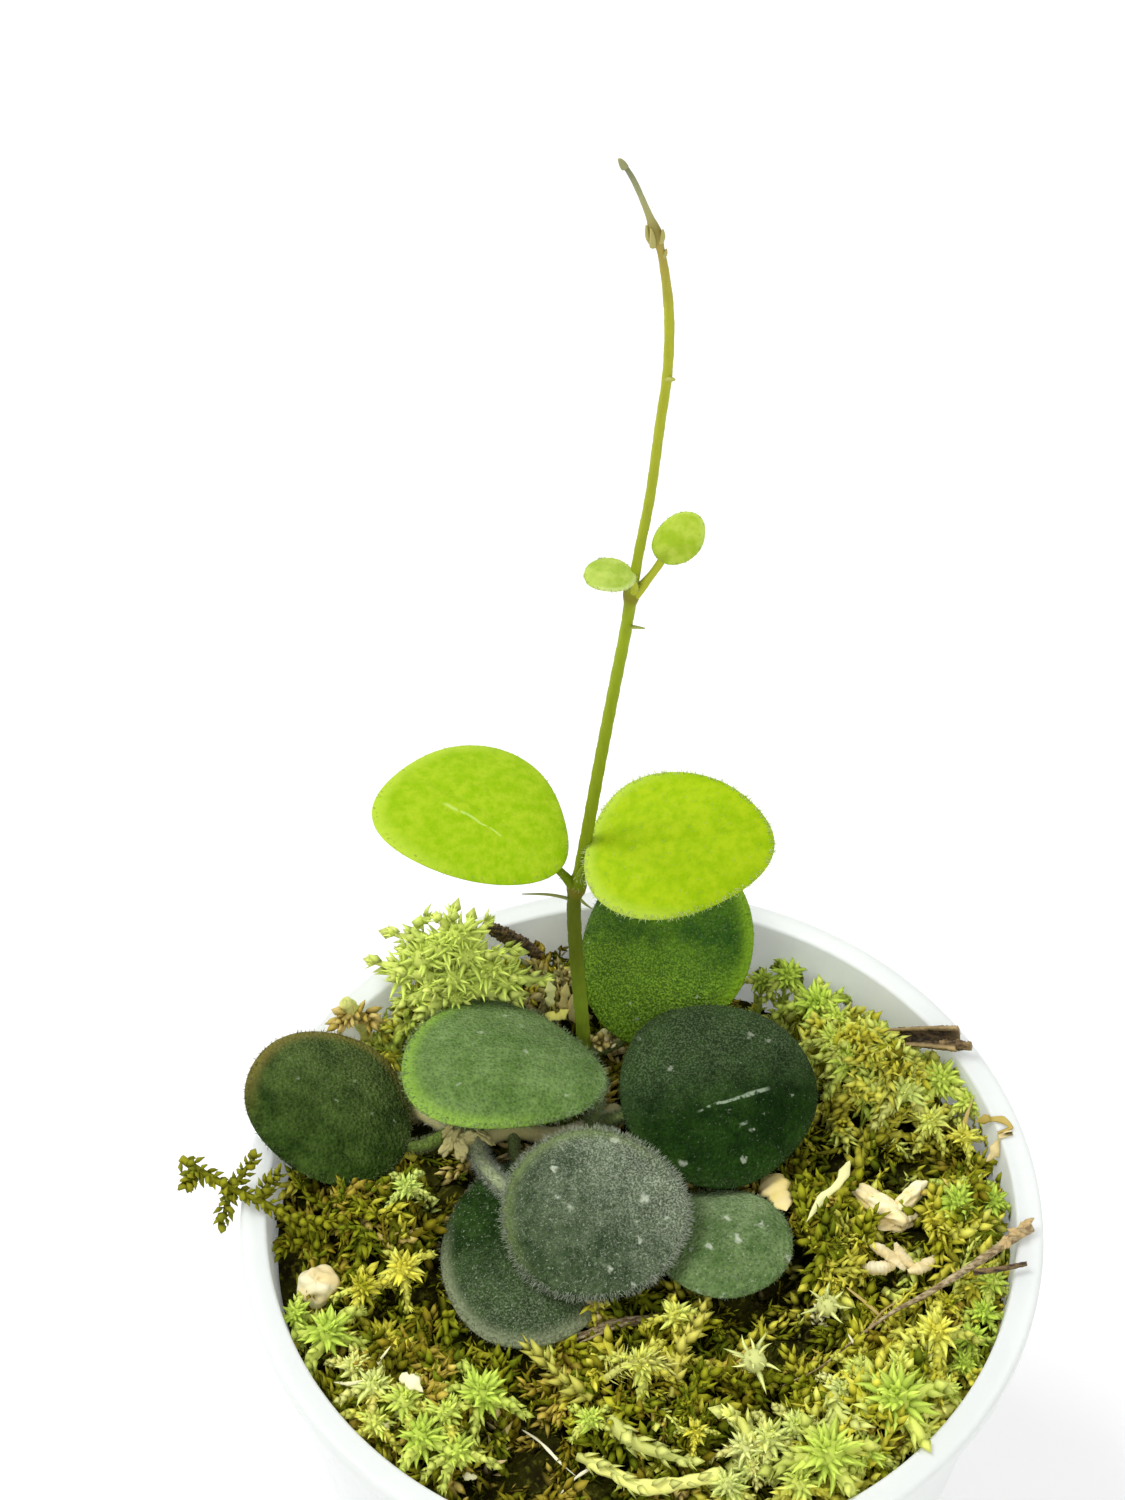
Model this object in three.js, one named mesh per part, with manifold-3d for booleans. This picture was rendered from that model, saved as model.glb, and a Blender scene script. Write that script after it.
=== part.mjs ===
// A small creeping hoya rooted in living moss, in a round translucent nursery pot.
// Millimetres, +Z up. The origin is the centre of the pot's underside; -Y is the front.
// Heights of everything that grows or lies above the pot are measured from the rim plane.
import * as THREE from 'three';
import Module from 'manifold-3d';
import { mergeVertices } from 'three/addons/utils/BufferGeometryUtils.js';

const wasm = await Module();
wasm.setup();

// Pot
const POT_HEIGHT = 78;
const RIM_RADIUS = 45;
const RIM_INNER_RADIUS = 42;
const RIM_DEPTH = 2.6;
const RIM_ROUNDING = 0.6;
const EDGE_ROUNDING = 0.3;
const BODY_TOP_RADIUS = 43.5;
const BASE_RADIUS = 36;
const BASE_ROUNDING = 1.4;
const WALL = 1.2;
const FLOOR = 1.5;
const POT_SIDES = 40;
const DRAIN_HOLES = 6;
const DRAIN_HOLE_RADIUS = 1.8;
const DRAIN_CIRCLE_RADIUS = 26;

// Sides of every stem, stalk and twig, of every drilled hole, and of a large and a tiny leaf
const ROD_SIDES = 8;
const HOLE_SIDES = 12;
const LEAF_SIDES = 18;
const TINY_LEAF_SIDES = 12;
const TINY_LEAF_LENGTH = 10;

// Clearances between touching pieces
const GAP = 0.3;
const MOSS_GAP = 0.5;

// Growing medium
const MEDIUM_TOP = -24;

// Moss bed: its level, small lumps, and each swell or hollow as x, y, reach and rise
const BED_BOTTOM = MEDIUM_TOP + GAP;
const BED_LEVEL = -7.2;
const BED_LUMP_HEIGHT = 0.3;
const BED_LUMP_WIDTH = 3.2;
const BED_SWELLS = [
  [31, -2, 9, 2.6],
  [-31, -2, 11, 1.6],
  [0, -29, 12, 1.3],
  [14, 38, 15, -6.6],
];
// Rings of corners on the bed's top, as shares of its radius
const BED_RINGS = [1, 0.9, 0.78, 0.65, 0.52, 0.39, 0.26, 0.13, 0];
// Holes in the bed for the rooted ends of the stems
const SOCKET_DEPTH = 7;
const SOCKET_CLEARANCE = 0.75;

// Colours as seen in soft daylight
const PLASTIC = new THREE.Color(0.86, 0.88, 0.87);
const SOIL = new THREE.Color(0.12, 0.09, 0.05);
const MOSS_OLIVE = new THREE.Color(0.36, 0.36, 0.1);
const MOSS_LIME = new THREE.Color(0.55, 0.72, 0.25);
const MOSS_OCHRE = new THREE.Color(0.6, 0.5, 0.24);
const STEM_GREEN = new THREE.Color(0.4, 0.44, 0.15);
const STEM_GREY = new THREE.Color(0.5, 0.48, 0.36);
const LEAF_LIME = new THREE.Color(0.55, 0.72, 0.08);
const LEAF_GREEN = new THREE.Color(0.2, 0.36, 0.08);
const LEAF_PALE = new THREE.Color(0.36, 0.52, 0.28);
const LEAF_DARK = new THREE.Color(0.14, 0.26, 0.15);
const LEAF_SILVER = new THREE.Color(0.3, 0.38, 0.31);
const BARK = new THREE.Color(0.18, 0.13, 0.08);
const PALE_WOOD = new THREE.Color(0.78, 0.7, 0.5);

// Cushions of living moss: centre x and y, half length, half width, turn in degrees,
// height over the bed and colour. Each lies on the bed.
const CUSHIONS = [
  ['moss_tuft_back_left', -23.4, 29.6, 9.5, 3.5, 38, 13.5, MOSS_LIME],
  ['moss_behind_stem', -7.5, 32, 6, 4.2, 0, 5, MOSS_OCHRE],
  ['moss_back_left', -32.4, 17.9, 4.6, 3.2, 120, 3.6, MOSS_OLIVE],
  ['moss_left', -30.2, -2.6, 7.4, 6.2, 0, 3.8, MOSS_OLIVE],
  ['moss_front_left', -22.5, -25, 11, 6.2, -42, 5.6, MOSS_LIME],
  ['moss_front', 2, -24.5, 10, 7, 0, 4.4, MOSS_OCHRE],
  ['moss_front_right', 25.5, -24.5, 10.5, 5.8, 46, 6.2, MOSS_LIME],
  ['moss_right', 35.8, -1, 9, 3.7, 88, 3.4, MOSS_LIME],
  ['moss_centre_right', 20, -2.5, 6, 8.5, 0, 3.6, MOSS_OLIVE],
  ['moss_back_right', 26.5, 22.6, 10.5, 5.4, 130, 6.6, MOSS_LIME],
];

// Stems. Each route is a list of points from the root upwards.
const UPRIGHT_ROUTE = [
  [-7.6, 24, -13.5],
  [-7.6, 24, -8],
  [-7.6, 24, -2.9],
  [-8, 23.8, 5],
  [-8.5, 23.5, 14],
  [-8.7, 23.2, 22.4],
  [-8.3, 23, 26.5],
  [-7.4, 22.8, 34],
  [-5.9, 22.4, 47.3],
  [-4.5, 22, 59],
  [-3.6, 21.8, 66.2],
  [-3, 21.5, 72.3],
  [-2.4, 21.3, 77.9],
  [-1.4, 21, 85.2],
  [-0.6, 20.7, 94],
  [-0.1, 20.5, 100],
  [-0.1, 20.3, 106.1],
  [-0.7, 20.1, 111.4],
  [-1.7, 20, 115.1],
  [-3.4, 19.7, 120.1],
  [-4.6, 19.5, 122.5],
];
const UPRIGHT_FOOT_RADIUS = 0.75;
const UPRIGHT_TIP_RADIUS = 0.26;
// Leaf joints of the upright stem: height and how far each swells.
const UPRIGHT_JOINTS = [[-6, 0.5], [25.9, 0.45], [72.1, 0.35], [115.1, 0.42]];
const JOINT_REACH = 1.1;

const CREEPING_ROUTE = [
  [-27.2, 14.2, -12.5],
  [-27.2, 14.2, -7.5],
  [-26, 13, -4.6],
  [-22, 9.9, -3.6],
  [-18.6, 9, -3.3],
  [-15.1, 10, -3.1],
  [-10.6, 9.7, -3.2],
  [-6.4, 11.2, -3.3],
  [-4.2, 12.4, -3.4],
  [-3.5, 14.6, -5.2],
  [-3.4, 15.6, -9],
  [-3.4, 15.8, -12.5],
];
const CREEPING_RADIUS = 0.85;
const CREEPING_JOINTS = 3;
const CREEPING_JOINT_SWELL = 0.25;

const SIDE_ROUTE = [
  [3.2, 2.4, -12.5],
  [3.2, 2.5, -7.5],
  [2.4, 3.6, -5.3],
  [0.4, 6, -4.7],
  [-1.6, 8.2, -4.6],
];
const SIDE_RADIUS = 0.75;

// Leaves. base: where blade and stalk meet; heading, pitch and roll: degrees round
// the plant, upwards, and about the leaf's own length; egg: narrower at the base if
// below 0; stem and at: which stem the stalk springs from, and how far along it.
const LEAVES = [
  {
    name: 'leaf_young_left', base: [-10, 22.3, 30.9], length: 22, width: 20.2, heading: 151, pitch: 5,
    roll: 4, egg: -0.16, thick: 1.5, stem: 'upright', at: 0.288, stalk: 0.5, color: LEAF_LIME,
  },
  {
    name: 'leaf_young_right', base: [-6.6, 21.2, 31.2], length: 20.4, width: 19.4, heading: 11, pitch: 12,
    roll: 5, egg: 0.11, thick: 1.5, stem: 'upright', at: 0.288, stalk: 0.5, color: LEAF_LIME,
  },
  {
    name: 'leaf_green_back', base: [-2.2, 22.6, -2], length: 24.4, width: 20.4, heading: 68, pitch: 28,
    roll: 5, egg: -0.04, thick: 1.7, stem: 'upright', at: 0.058, stalk: 0.65, color: LEAF_GREEN,
  },
  {
    name: 'leaf_pale_mid', base: [-4.6, 12.1, 2], length: 24, width: 22, heading: 165, pitch: 0,
    roll: 14, egg: -0.34, thick: 1.7, stem: 'creeping', at: 0.68, stalk: 0.7, color: LEAF_PALE,
  },
  {
    name: 'leaf_left', base: [-27.1, 6.9, -3], length: 20.4, width: 19.1, heading: 165, pitch: 24,
    roll: 0, egg: 0.05, thick: 1.8, stem: 'creeping', at: 0.31, stalk: 0.85, color: LEAF_DARK,
  },
  {
    name: 'leaf_right', base: [-2.4, 10.2, 1.2], length: 23.1, width: 22.6, heading: 16, pitch: 0,
    roll: 14, egg: 0.11, thick: 1.8, stem: 'creeping', at: 0.73, stalk: 0.75, color: LEAF_DARK,
  },
  {
    name: 'leaf_under_right', base: [-0.4, 9.8, -2.8], length: 17.5, width: 16.6, heading: 26, pitch: 0,
    roll: 6, egg: 0, thick: 1.6, stem: 'side', at: 0.93, stalk: 0.6, color: LEAF_DARK,
  },
  {
    name: 'leaf_front', base: [-15.4, -1.6, 1.2], length: 21, width: 19.8, heading: -12, pitch: 1,
    roll: 14, egg: 0, thick: 1.8, stem: 'creeping', at: 0.36, stalk: 0.7, color: LEAF_SILVER,
  },
  {
    name: 'leaf_lower_left', base: [-14.5, 5, -2.8], length: 22.9, width: 19.1, heading: -81, pitch: -5,
    roll: 2, egg: -0.01, thick: 1.7, stem: 'creeping', at: 0.49, stalk: 0.7, color: LEAF_DARK,
  },
  {
    name: 'leaf_lower_right', base: [1.9, -0.7, -3.4], length: 16.3, width: 15.1, heading: -27, pitch: 8,
    roll: -4, egg: -0.01, thick: 1.6, stem: 'side', at: 0.52, stalk: 0.6, color: LEAF_SILVER,
  },
  {
    name: 'leaf_tip_left', base: [-4.3, 20.5, 74], length: 5.2, width: 4.4, heading: 150, pitch: 2,
    roll: -3, egg: -0.09, thick: 0.7, stem: 'upright', at: 0.628, stalk: 0.3, color: LEAF_PALE,
  },
  {
    name: 'leaf_tip_right', base: [-0.3, 21, 77], length: 5.8, width: 4.7, heading: 43, pitch: 29,
    roll: 9, egg: 0.11, thick: 0.7, stem: 'upright', at: 0.628, stalk: 0.3, color: LEAF_PALE,
  },
];
// A blade's sides and tip drop by this share of its length. A stalk starts clear of
// its stem, bends at an elbow given in shares of its span, and reaches into the blade.
const BLADE_BEND = 0.045;
const STALK_GAP = 0.55;
const LEAST_LEAN = 0.45;
const STALK_ELBOW = [-0.3, 0, -0.1];
const STALK_REACH = 0.08;

// Loose pieces. Routes are x, y, z; where a piece lies on the moss, the third number
// is how far over the moss its underside runs.
const MOSS_RUNNER_ROUTE = [
  [-51.8, 0.2, 3],
  [-49.5, -1, 2.3],
  [-45.3, -2.9, 1.7],
  [-42, -4.2, 1.5],
  [-39, -5.2, 0.3],
  [-36, -5.2, -0.5],
  [-33, -4.8, -0.2],
];
const MOSS_RUNNER_RADII = [0.7, 1];
const MOSS_STALK_ROUTE = [[-7, -29, 0], [-4, -33, 0.2], [1.5, -35.4, 0.2], [7, -34.6, 0.2], [12, -31.5, 0]];
const MOSS_STALK_RADIUS = 0.6;
const MOSS_STUB_ROUTE = [[-33.2, 23.2, -5.6], [-34.2, 22.5, 0], [-35.6, 21.3, 5.6]];
const MOSS_STUB_RADIUS = 0.7;
const LONG_TWIG_ROUTE = [
  [43.2, -2.6, 0.95],
  [40.5, -4.6, 0.6],
  [36.9, -7.4, 0.4],
  [31.5, -10.6, -1.2],
  [28, -12.2, -2.4],
  [24, -15, -3.6],
  [20, -18.4, -4.2],
  [16, -20.5, -4.7],
];
const LONG_TWIG_RADII = [0.6, 0.45];
const THIN_TWIG_ROUTE = [[36.6, -8.9, 1.1], [39.5, -8.4, 1.2], [42.4, -7.6, 1.2]];
const THIN_TWIG_RADII = [0.35, 0.3];
const FIBROUS_TWIG_ROUTE = [[-6.5, -15.5, 0], [-2, -13.6, 0], [3, -12.4, 0], [8, -12.6, 0]];
const FIBROUS_TWIG_RADIUS = 0.55;
const STRIP_OUTLINE = [[0, -1], [2.5, -1.3], [6, -1], [8.6, -0.4], [8.4, 0.7], [5, 1.2], [1, 1.1]];
const FORK_OUTLINE = [
  [-3.2, 1.6], [-1.6, 0.5], [-2.2, -1.2], [0.2, -0.6], [2.6, -2], [3.4, -0.9],
  [1.4, 0.6], [3, 2.2], [1.8, 2.9], [-0.2, 1.5], [-2.4, 2.5],
];
const LOW_OUTLINE = [
  [-3, -0.9], [-0.6, -0.3], [1.2, -1.4], [3.2, -1], [2.4, 0.6], [-0.4, 1.2], [-2.8, 0.4],
];
// Flat flakes: name, outline, thickness, place, turn in degrees about X, Y and Z, and colour.
const FLAKES = [
  ['bark_strip', STRIP_OUTLINE, 0.9, [-17.8, 36.4, -0.2], [0, 26, -14], BARK],
  ['wood_flake_forked', FORK_OUTLINE, 0.9, [28.4, 2.4, -4.5], [4, -6, 0], PALE_WOOD],
  ['wood_flake_low', LOW_OUTLINE, 0.8, [28.2, -5.2, -3.2], [3, -4, 16], PALE_WOOD],
];
const TUBE_LENGTH = 9.6;
const TUBE_RADIUS = 1.4;
const TUBE_BORE = 0.8;
const TUBE_SIDES = 14;
const TUBE_PLACE = [28.5, 24.6, -0.7];
const TUBE_TURN = [0, -20, -18];
const CHIP_RADIUS = 2.5;
const CHIP_FLATNESS = 0.62;
const CHIP_PLACE = [-35.4, -11.2];
const CHIP_LIFT = 1.9;

const degrees = THREE.MathUtils.degToRad;

const pottedHoya = new THREE.Group();
const aboveRim = new THREE.Group();
aboveRim.position.z = POT_HEIGHT;
pottedHoya.add(aboveRim);

// Adds one named piece to a group, with a plain finish of its own.
function addPiece(group, name, geometry, color, roughness) {
  const material = new THREE.MeshStandardMaterial({ color, roughness, metalness: 0 });
  const mesh = new THREE.Mesh(geometry, material);
  mesh.name = name;
  group.add(mesh);
  return mesh;
}

// Welds a geometry's shared corners and drops the flat triangles that poles leave.
function closed(geometry) {
  const bare = geometry.clone();
  bare.deleteAttribute('normal');
  bare.deleteAttribute('uv');
  const welded = mergeVertices(bare, 1e-4);
  const corners = Array.from(welded.index.array);
  const kept = [];
  for (let i = 0; i < corners.length; i += 3) {
    const [a, b, c] = corners.slice(i, i + 3);
    if (a !== b && b !== c && c !== a) {
      kept.push(a, b, c);
    }
  }
  welded.setIndex(kept);
  return welded;
}

function toManifold(geometry) {
  const welded = closed(geometry);
  const vertProperties = new Float32Array(welded.attributes.position.array);
  const triVerts = new Uint32Array(welded.index.array);
  return new wasm.Manifold(new wasm.Mesh({ numProp: 3, vertProperties, triVerts }));
}

function fromManifold(manifold) {
  const mesh = manifold.getMesh();
  const geometry = new THREE.BufferGeometry();
  geometry.setAttribute('position', new THREE.BufferAttribute(mesh.vertProperties, 3));
  geometry.setIndex(new THREE.BufferAttribute(mesh.triVerts, 1));
  geometry.computeVertexNormals();
  return geometry;
}

// Moves every corner of a geometry to where a function of its place says.
function reshape(geometry, place) {
  const positions = geometry.attributes.position;
  const corner = new THREE.Vector3();
  for (let i = 0; i < positions.count; i += 1) {
    corner.fromBufferAttribute(positions, i);
    const moved = place(corner);
    positions.setXYZ(i, moved.x, moved.y, moved.z);
  }
  geometry.computeVertexNormals();
  return geometry;
}

// A closed turned solid with its axis on Z, from profile points of radius and height.
function turned(profile, sides) {
  const points = profile.map(([radius, height]) => new THREE.Vector2(radius, height));
  return new THREE.LatheGeometry(points, sides).rotateX(Math.PI / 2);
}

// A round rod along a curve. It is a turned rod of unit length bent along the curve,
// so its radius can change on the way and both ends are closed.
function bentRod(curve, radiusAt, steps) {
  const profile = [new THREE.Vector2(0, 0)];
  for (let i = 0; i <= steps; i += 1) {
    profile.push(new THREE.Vector2(radiusAt(i / steps), i / steps));
  }
  profile.push(new THREE.Vector2(0, 1));
  const frames = curve.computeFrenetFrames(steps, false);
  return reshape(new THREE.LatheGeometry(profile, ROD_SIDES), (corner) => {
    const step = Math.round(corner.y * steps);
    const centre = curve.getPointAt(step / steps);
    return centre
      .addScaledVector(frames.binormals[step], corner.x)
      .addScaledVector(frames.normals[step], corner.z);
  });
}

function smoothCurve(points) {
  return new THREE.CatmullRomCurve3(points.map(([x, y, z]) => new THREE.Vector3(x, y, z)));
}

// A radius that runs evenly from one end's to the other's.
function taper(from, to) {
  return (t) => from + (to - from) * t;
}

// A bell of height 1 around a point, falling off over the given reach.
function bell(x, y, centreX, centreY, reach) {
  return Math.exp(-((x - centreX) ** 2 + (y - centreY) ** 2) / (2 * reach ** 2));
}

// The pot's inner wall, whose radius narrows evenly from the rim to the floor.
function innerRadius(height) {
  const outer = BASE_RADIUS + (BODY_TOP_RADIUS - BASE_RADIUS) * ((height + POT_HEIGHT) / POT_HEIGHT);
  return Math.min(outer - WALL, RIM_INNER_RADIUS);
}

// Height of the moss bed's surface: fullest at the left, right and front,
// and lowest at the back right, where the bare pot wall shows.
function bedHeight(x, y) {
  let height = BED_LEVEL;
  for (const [centreX, centreY, reach, rise] of BED_SWELLS) {
    height += rise * bell(x, y, centreX, centreY, reach);
  }
  return height + BED_LUMP_HEIGHT * Math.sin(x / BED_LUMP_WIDTH) * Math.cos(y / BED_LUMP_WIDTH);
}

// The turned cup with a flat-topped rolled rim, drained by a ring of small holes.
function makePot() {
  const skirt = POT_HEIGHT - RIM_DEPTH;
  const cup = turned([
    [0, 0],
    [BASE_RADIUS - BASE_ROUNDING, 0],
    [BASE_RADIUS - EDGE_ROUNDING, EDGE_ROUNDING],
    [BASE_RADIUS, BASE_ROUNDING],
    [BODY_TOP_RADIUS, skirt],
    [RIM_RADIUS - EDGE_ROUNDING, skirt],
    [RIM_RADIUS, skirt + EDGE_ROUNDING],
    [RIM_RADIUS, POT_HEIGHT - RIM_ROUNDING],
    [RIM_RADIUS - RIM_ROUNDING, POT_HEIGHT],
    [RIM_INNER_RADIUS + EDGE_ROUNDING, POT_HEIGHT],
    [RIM_INNER_RADIUS, POT_HEIGHT - EDGE_ROUNDING],
    [innerRadius(-RIM_DEPTH), skirt],
    [BASE_RADIUS - WALL, FLOOR + EDGE_ROUNDING],
    [BASE_RADIUS - WALL - EDGE_ROUNDING, FLOOR],
    [0, FLOOR],
  ], POT_SIDES);
  let pot = toManifold(cup);
  for (let i = 0; i < DRAIN_HOLES; i += 1) {
    const angle = (2 * Math.PI * i) / DRAIN_HOLES;
    const drill = new THREE.CylinderGeometry(DRAIN_HOLE_RADIUS, DRAIN_HOLE_RADIUS, 4 * FLOOR, HOLE_SIDES);
    drill.rotateX(Math.PI / 2);
    drill.translate(DRAIN_CIRCLE_RADIUS * Math.cos(angle), DRAIN_CIRCLE_RADIUS * Math.sin(angle), 0);
    pot = pot.subtract(toManifold(drill));
  }
  return fromManifold(pot);
}

// The packed mix of soil and old moss that fills the pot below the living moss.
function makeGrowingMedium() {
  const bottom = FLOOR + GAP;
  const top = POT_HEIGHT + MEDIUM_TOP;
  return turned([
    [0, bottom],
    [BASE_RADIUS - WALL - BASE_ROUNDING, bottom],
    [BASE_RADIUS - WALL - GAP, bottom + BASE_ROUNDING],
    [innerRadius(MEDIUM_TOP) - GAP, top],
    [0, top],
  ], POT_SIDES);
}

// Moss bed: a turned plug whose top follows the bed height, with a hole for each rooted stem.
function makeMossBed(sockets) {
  const plug = turned([
    [0, BED_BOTTOM],
    [innerRadius(BED_BOTTOM) - GAP, BED_BOTTOM],
    ...BED_RINGS.map((ring) => [ring * RIM_INNER_RADIUS, BED_LEVEL]),
  ], POT_SIDES);
  reshape(plug, (corner) => {
    if (corner.z <= BED_BOTTOM) {
      return corner;
    }
    const height = bedHeight(corner.x, corner.y);
    const shrink = (innerRadius(height) - GAP) / RIM_INNER_RADIUS;
    const x = corner.x * shrink;
    const y = corner.y * shrink;
    return new THREE.Vector3(x, y, bedHeight(x, y));
  });
  let bed = toManifold(plug);
  for (const [x, y, radius] of sockets) {
    const hole = new THREE.CylinderGeometry(radius, radius, 2 * SOCKET_DEPTH, HOLE_SIDES);
    hole.rotateX(Math.PI / 2);
    hole.translate(x, y, bedHeight(x, y));
    bed = bed.subtract(toManifold(hole));
  }
  return fromManifold(bed);
}

// Rise of one cushion over the bed at x and y: a dome on an ellipse.
function cushionRise(cushion, x, y) {
  const [, centreX, centreY, halfLength, halfWidth, turn, height] = cushion;
  const cosine = Math.cos(degrees(turn));
  const sine = Math.sin(degrees(turn));
  const along = ((x - centreX) * cosine + (y - centreY) * sine) / halfLength;
  const across = ((y - centreY) * cosine - (x - centreX) * sine) / halfWidth;
  const inside = 1 - along ** 2 - across ** 2;
  return inside > 0 ? height * Math.sqrt(inside) : 0;
}

// The surface that loose pieces lie on: the bed with its cushions.
function groundHeight(x, y) {
  const rises = CUSHIONS.map((cushion) => cushionRise(cushion, x, y));
  const highest = Math.max(...rises);
  return bedHeight(x, y) + (highest > 0 ? highest + MOSS_GAP : 0);
}

// A cushion is a ball spread over its ellipse: the lower half lies on the bed
// and the upper half rises as the dome.
function makeCushion(cushion) {
  const [, centreX, centreY, halfLength, halfWidth, turn, height] = cushion;
  const cosine = Math.cos(degrees(turn));
  const sine = Math.sin(degrees(turn));
  const ball = new THREE.SphereGeometry(1, 16, 8).rotateX(Math.PI / 2);
  return reshape(ball, (corner) => {
    const along = corner.x * halfLength;
    const across = corner.y * halfWidth;
    const x = centreX + along * cosine - across * sine;
    const y = centreY + along * sine + across * cosine;
    const rise = corner.z > 0 ? height * corner.z : 0;
    return new THREE.Vector3(x, y, bedHeight(x, y) + MOSS_GAP + rise);
  });
}

// Radius of the upright stem: an even taper with a swelling at each leaf joint.
const uprightCurve = smoothCurve(UPRIGHT_ROUTE);
function uprightRadius(t) {
  const height = uprightCurve.getPointAt(t).z;
  let radius = UPRIGHT_FOOT_RADIUS + (UPRIGHT_TIP_RADIUS - UPRIGHT_FOOT_RADIUS) * t;
  for (const [joint, swell] of UPRIGHT_JOINTS) {
    radius += swell * Math.exp(-(((height - joint) / JOINT_REACH) ** 2));
  }
  return radius;
}

// Radius of the creeping stem: thicker at each leaf joint along it.
function creepingRadius(t) {
  return CREEPING_RADIUS + CREEPING_JOINT_SWELL * Math.sin(CREEPING_JOINTS * Math.PI * t) ** 2;
}

const STEMS = {
  upright: {
    name: 'upright_stem', curve: uprightCurve, radiusAt: uprightRadius, steps: 64, color: STEM_GREEN,
  },
  creeping: {
    name: 'creeping_stem', curve: smoothCurve(CREEPING_ROUTE), radiusAt: creepingRadius, steps: 28,
    color: STEM_GREY,
  },
  side: {
    name: 'side_stem', curve: smoothCurve(SIDE_ROUTE), radiusAt: () => SIDE_RADIUS, steps: 12,
    color: STEM_GREY,
  },
};

// A blade is a flattened ball with its base at the origin and its tip on +X.
// Its sides and tip bend down a little, and the egg term narrows one end.
function makeBlade(leaf) {
  const bend = BLADE_BEND * leaf.length;
  const sides = leaf.length > TINY_LEAF_LENGTH ? LEAF_SIDES : TINY_LEAF_SIDES;
  const ball = new THREE.SphereGeometry(1, sides, 6).rotateX(Math.PI / 2);
  return reshape(ball, (corner) => {
    const along = (leaf.length / 2) * (1 + corner.x);
    const across = (leaf.width / 2) * corner.y * (1 - leaf.egg * corner.x);
    const drop = bend * (corner.x ** 2 + corner.y ** 2) - bend;
    return new THREE.Vector3(along, across, (leaf.thick / 2) * corner.z - drop);
  });
}

// Where a stalk springs from: just off the stem's side, towards the blade's base.
// The more a stalk leaves along the stem, the further out it starts, to clear the stem.
function springPoint(leaf) {
  const { curve, radiusAt } = STEMS[leaf.stem];
  const axisPoint = curve.getPointAt(leaf.at);
  const tangent = curve.getTangentAt(leaf.at);
  const outward = new THREE.Vector3(...leaf.base).sub(axisPoint).normalize();
  const lean = Math.max(LEAST_LEAN, Math.abs(outward.dot(tangent)));
  outward.projectOnPlane(tangent).normalize();
  return axisPoint.addScaledVector(outward, radiusAt(leaf.at) + STALK_GAP + lean * leaf.stalk);
}

// The stalk bends from the stem into the blade's base, in the leaf's own axes.
function makeStalk(leaf, frame) {
  const start = springPoint(leaf).applyMatrix4(frame.invert());
  const elbow = new THREE.Vector3(...STALK_ELBOW).multiplyScalar(start.length());
  const end = new THREE.Vector3(STALK_REACH * leaf.length, 0, 0);
  const curve = new THREE.QuadraticBezierCurve3(start, elbow, end);
  return bentRod(curve, () => leaf.stalk, 6);
}

function addLeaf(leaf) {
  const angles = [leaf.roll, -leaf.pitch, leaf.heading].map(degrees);
  const turn = new THREE.Euler(...angles, 'ZYX');
  const frame = new THREE.Matrix4().makeRotationFromEuler(turn).setPosition(...leaf.base);
  const grown = toManifold(makeBlade(leaf)).add(toManifold(makeStalk(leaf, frame)));
  const mesh = addPiece(aboveRim, leaf.name, fromManifold(grown), leaf.color, 0.6);
  mesh.position.set(...leaf.base);
  mesh.rotation.copy(turn);
}

// A route over the moss: x, y and how far over the surface the rod's underside runs.
function layOnGround(route, radius) {
  return smoothCurve(route.map(([x, y, lift]) => [x, y, groundHeight(x, y) + GAP + radius + lift]));
}

// A flat piece of bark or wood from its outline, lying with its face up.
function makeFlake(outline, depth) {
  const shape = new THREE.Shape(outline.map(([x, y]) => new THREE.Vector2(x, y)));
  return new THREE.ExtrudeGeometry(shape, { depth, bevelEnabled: false });
}

function addFlake(name, outline, thickness, place, turn, color) {
  const mesh = addPiece(aboveRim, name, makeFlake(outline, thickness), color, 0.85);
  mesh.position.set(...place);
  mesh.rotation.set(...turn.map(degrees), 'ZYX');
}

// Curled bark: a short thick-walled tube along X from the origin.
function makeBarkTube() {
  const ring = turned([
    [TUBE_BORE, 0],
    [TUBE_RADIUS, 0],
    [TUBE_RADIUS, TUBE_LENGTH],
    [TUBE_BORE, TUBE_LENGTH],
    [TUBE_BORE, 0],
  ], TUBE_SIDES);
  return ring.rotateY(Math.PI / 2);
}

addPiece(pottedHoya, 'pot', makePot(), PLASTIC, 0.35);
addPiece(pottedHoya, 'growing_medium', makeGrowingMedium(), SOIL, 0.95);

// A hole in the bed for a rooted end of a stem.
const socketFor = ([x, y], radius) => [x, y, radius + SOCKET_CLEARANCE];
const sockets = [
  socketFor(UPRIGHT_ROUTE[0], UPRIGHT_FOOT_RADIUS),
  socketFor(CREEPING_ROUTE[0], CREEPING_RADIUS + CREEPING_JOINT_SWELL),
  socketFor(CREEPING_ROUTE[CREEPING_ROUTE.length - 1], CREEPING_RADIUS + CREEPING_JOINT_SWELL),
  socketFor(SIDE_ROUTE[0], SIDE_RADIUS),
];
addPiece(aboveRim, 'moss_bed', makeMossBed(sockets), MOSS_OLIVE, 0.95);
for (const cushion of CUSHIONS) {
  addPiece(aboveRim, cushion[0], makeCushion(cushion), cushion[7], 0.9);
}

for (const stem of Object.values(STEMS)) {
  addPiece(aboveRim, stem.name, bentRod(stem.curve, stem.radiusAt, stem.steps), stem.color, 0.7);
}
LEAVES.forEach(addLeaf);

// A rod among the moss: its name, route, radius along it, number of steps and colour.
function addRod(name, curve, radiusAt, steps, color) {
  addPiece(aboveRim, name, bentRod(curve, radiusAt, steps), color, 0.9);
}

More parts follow.
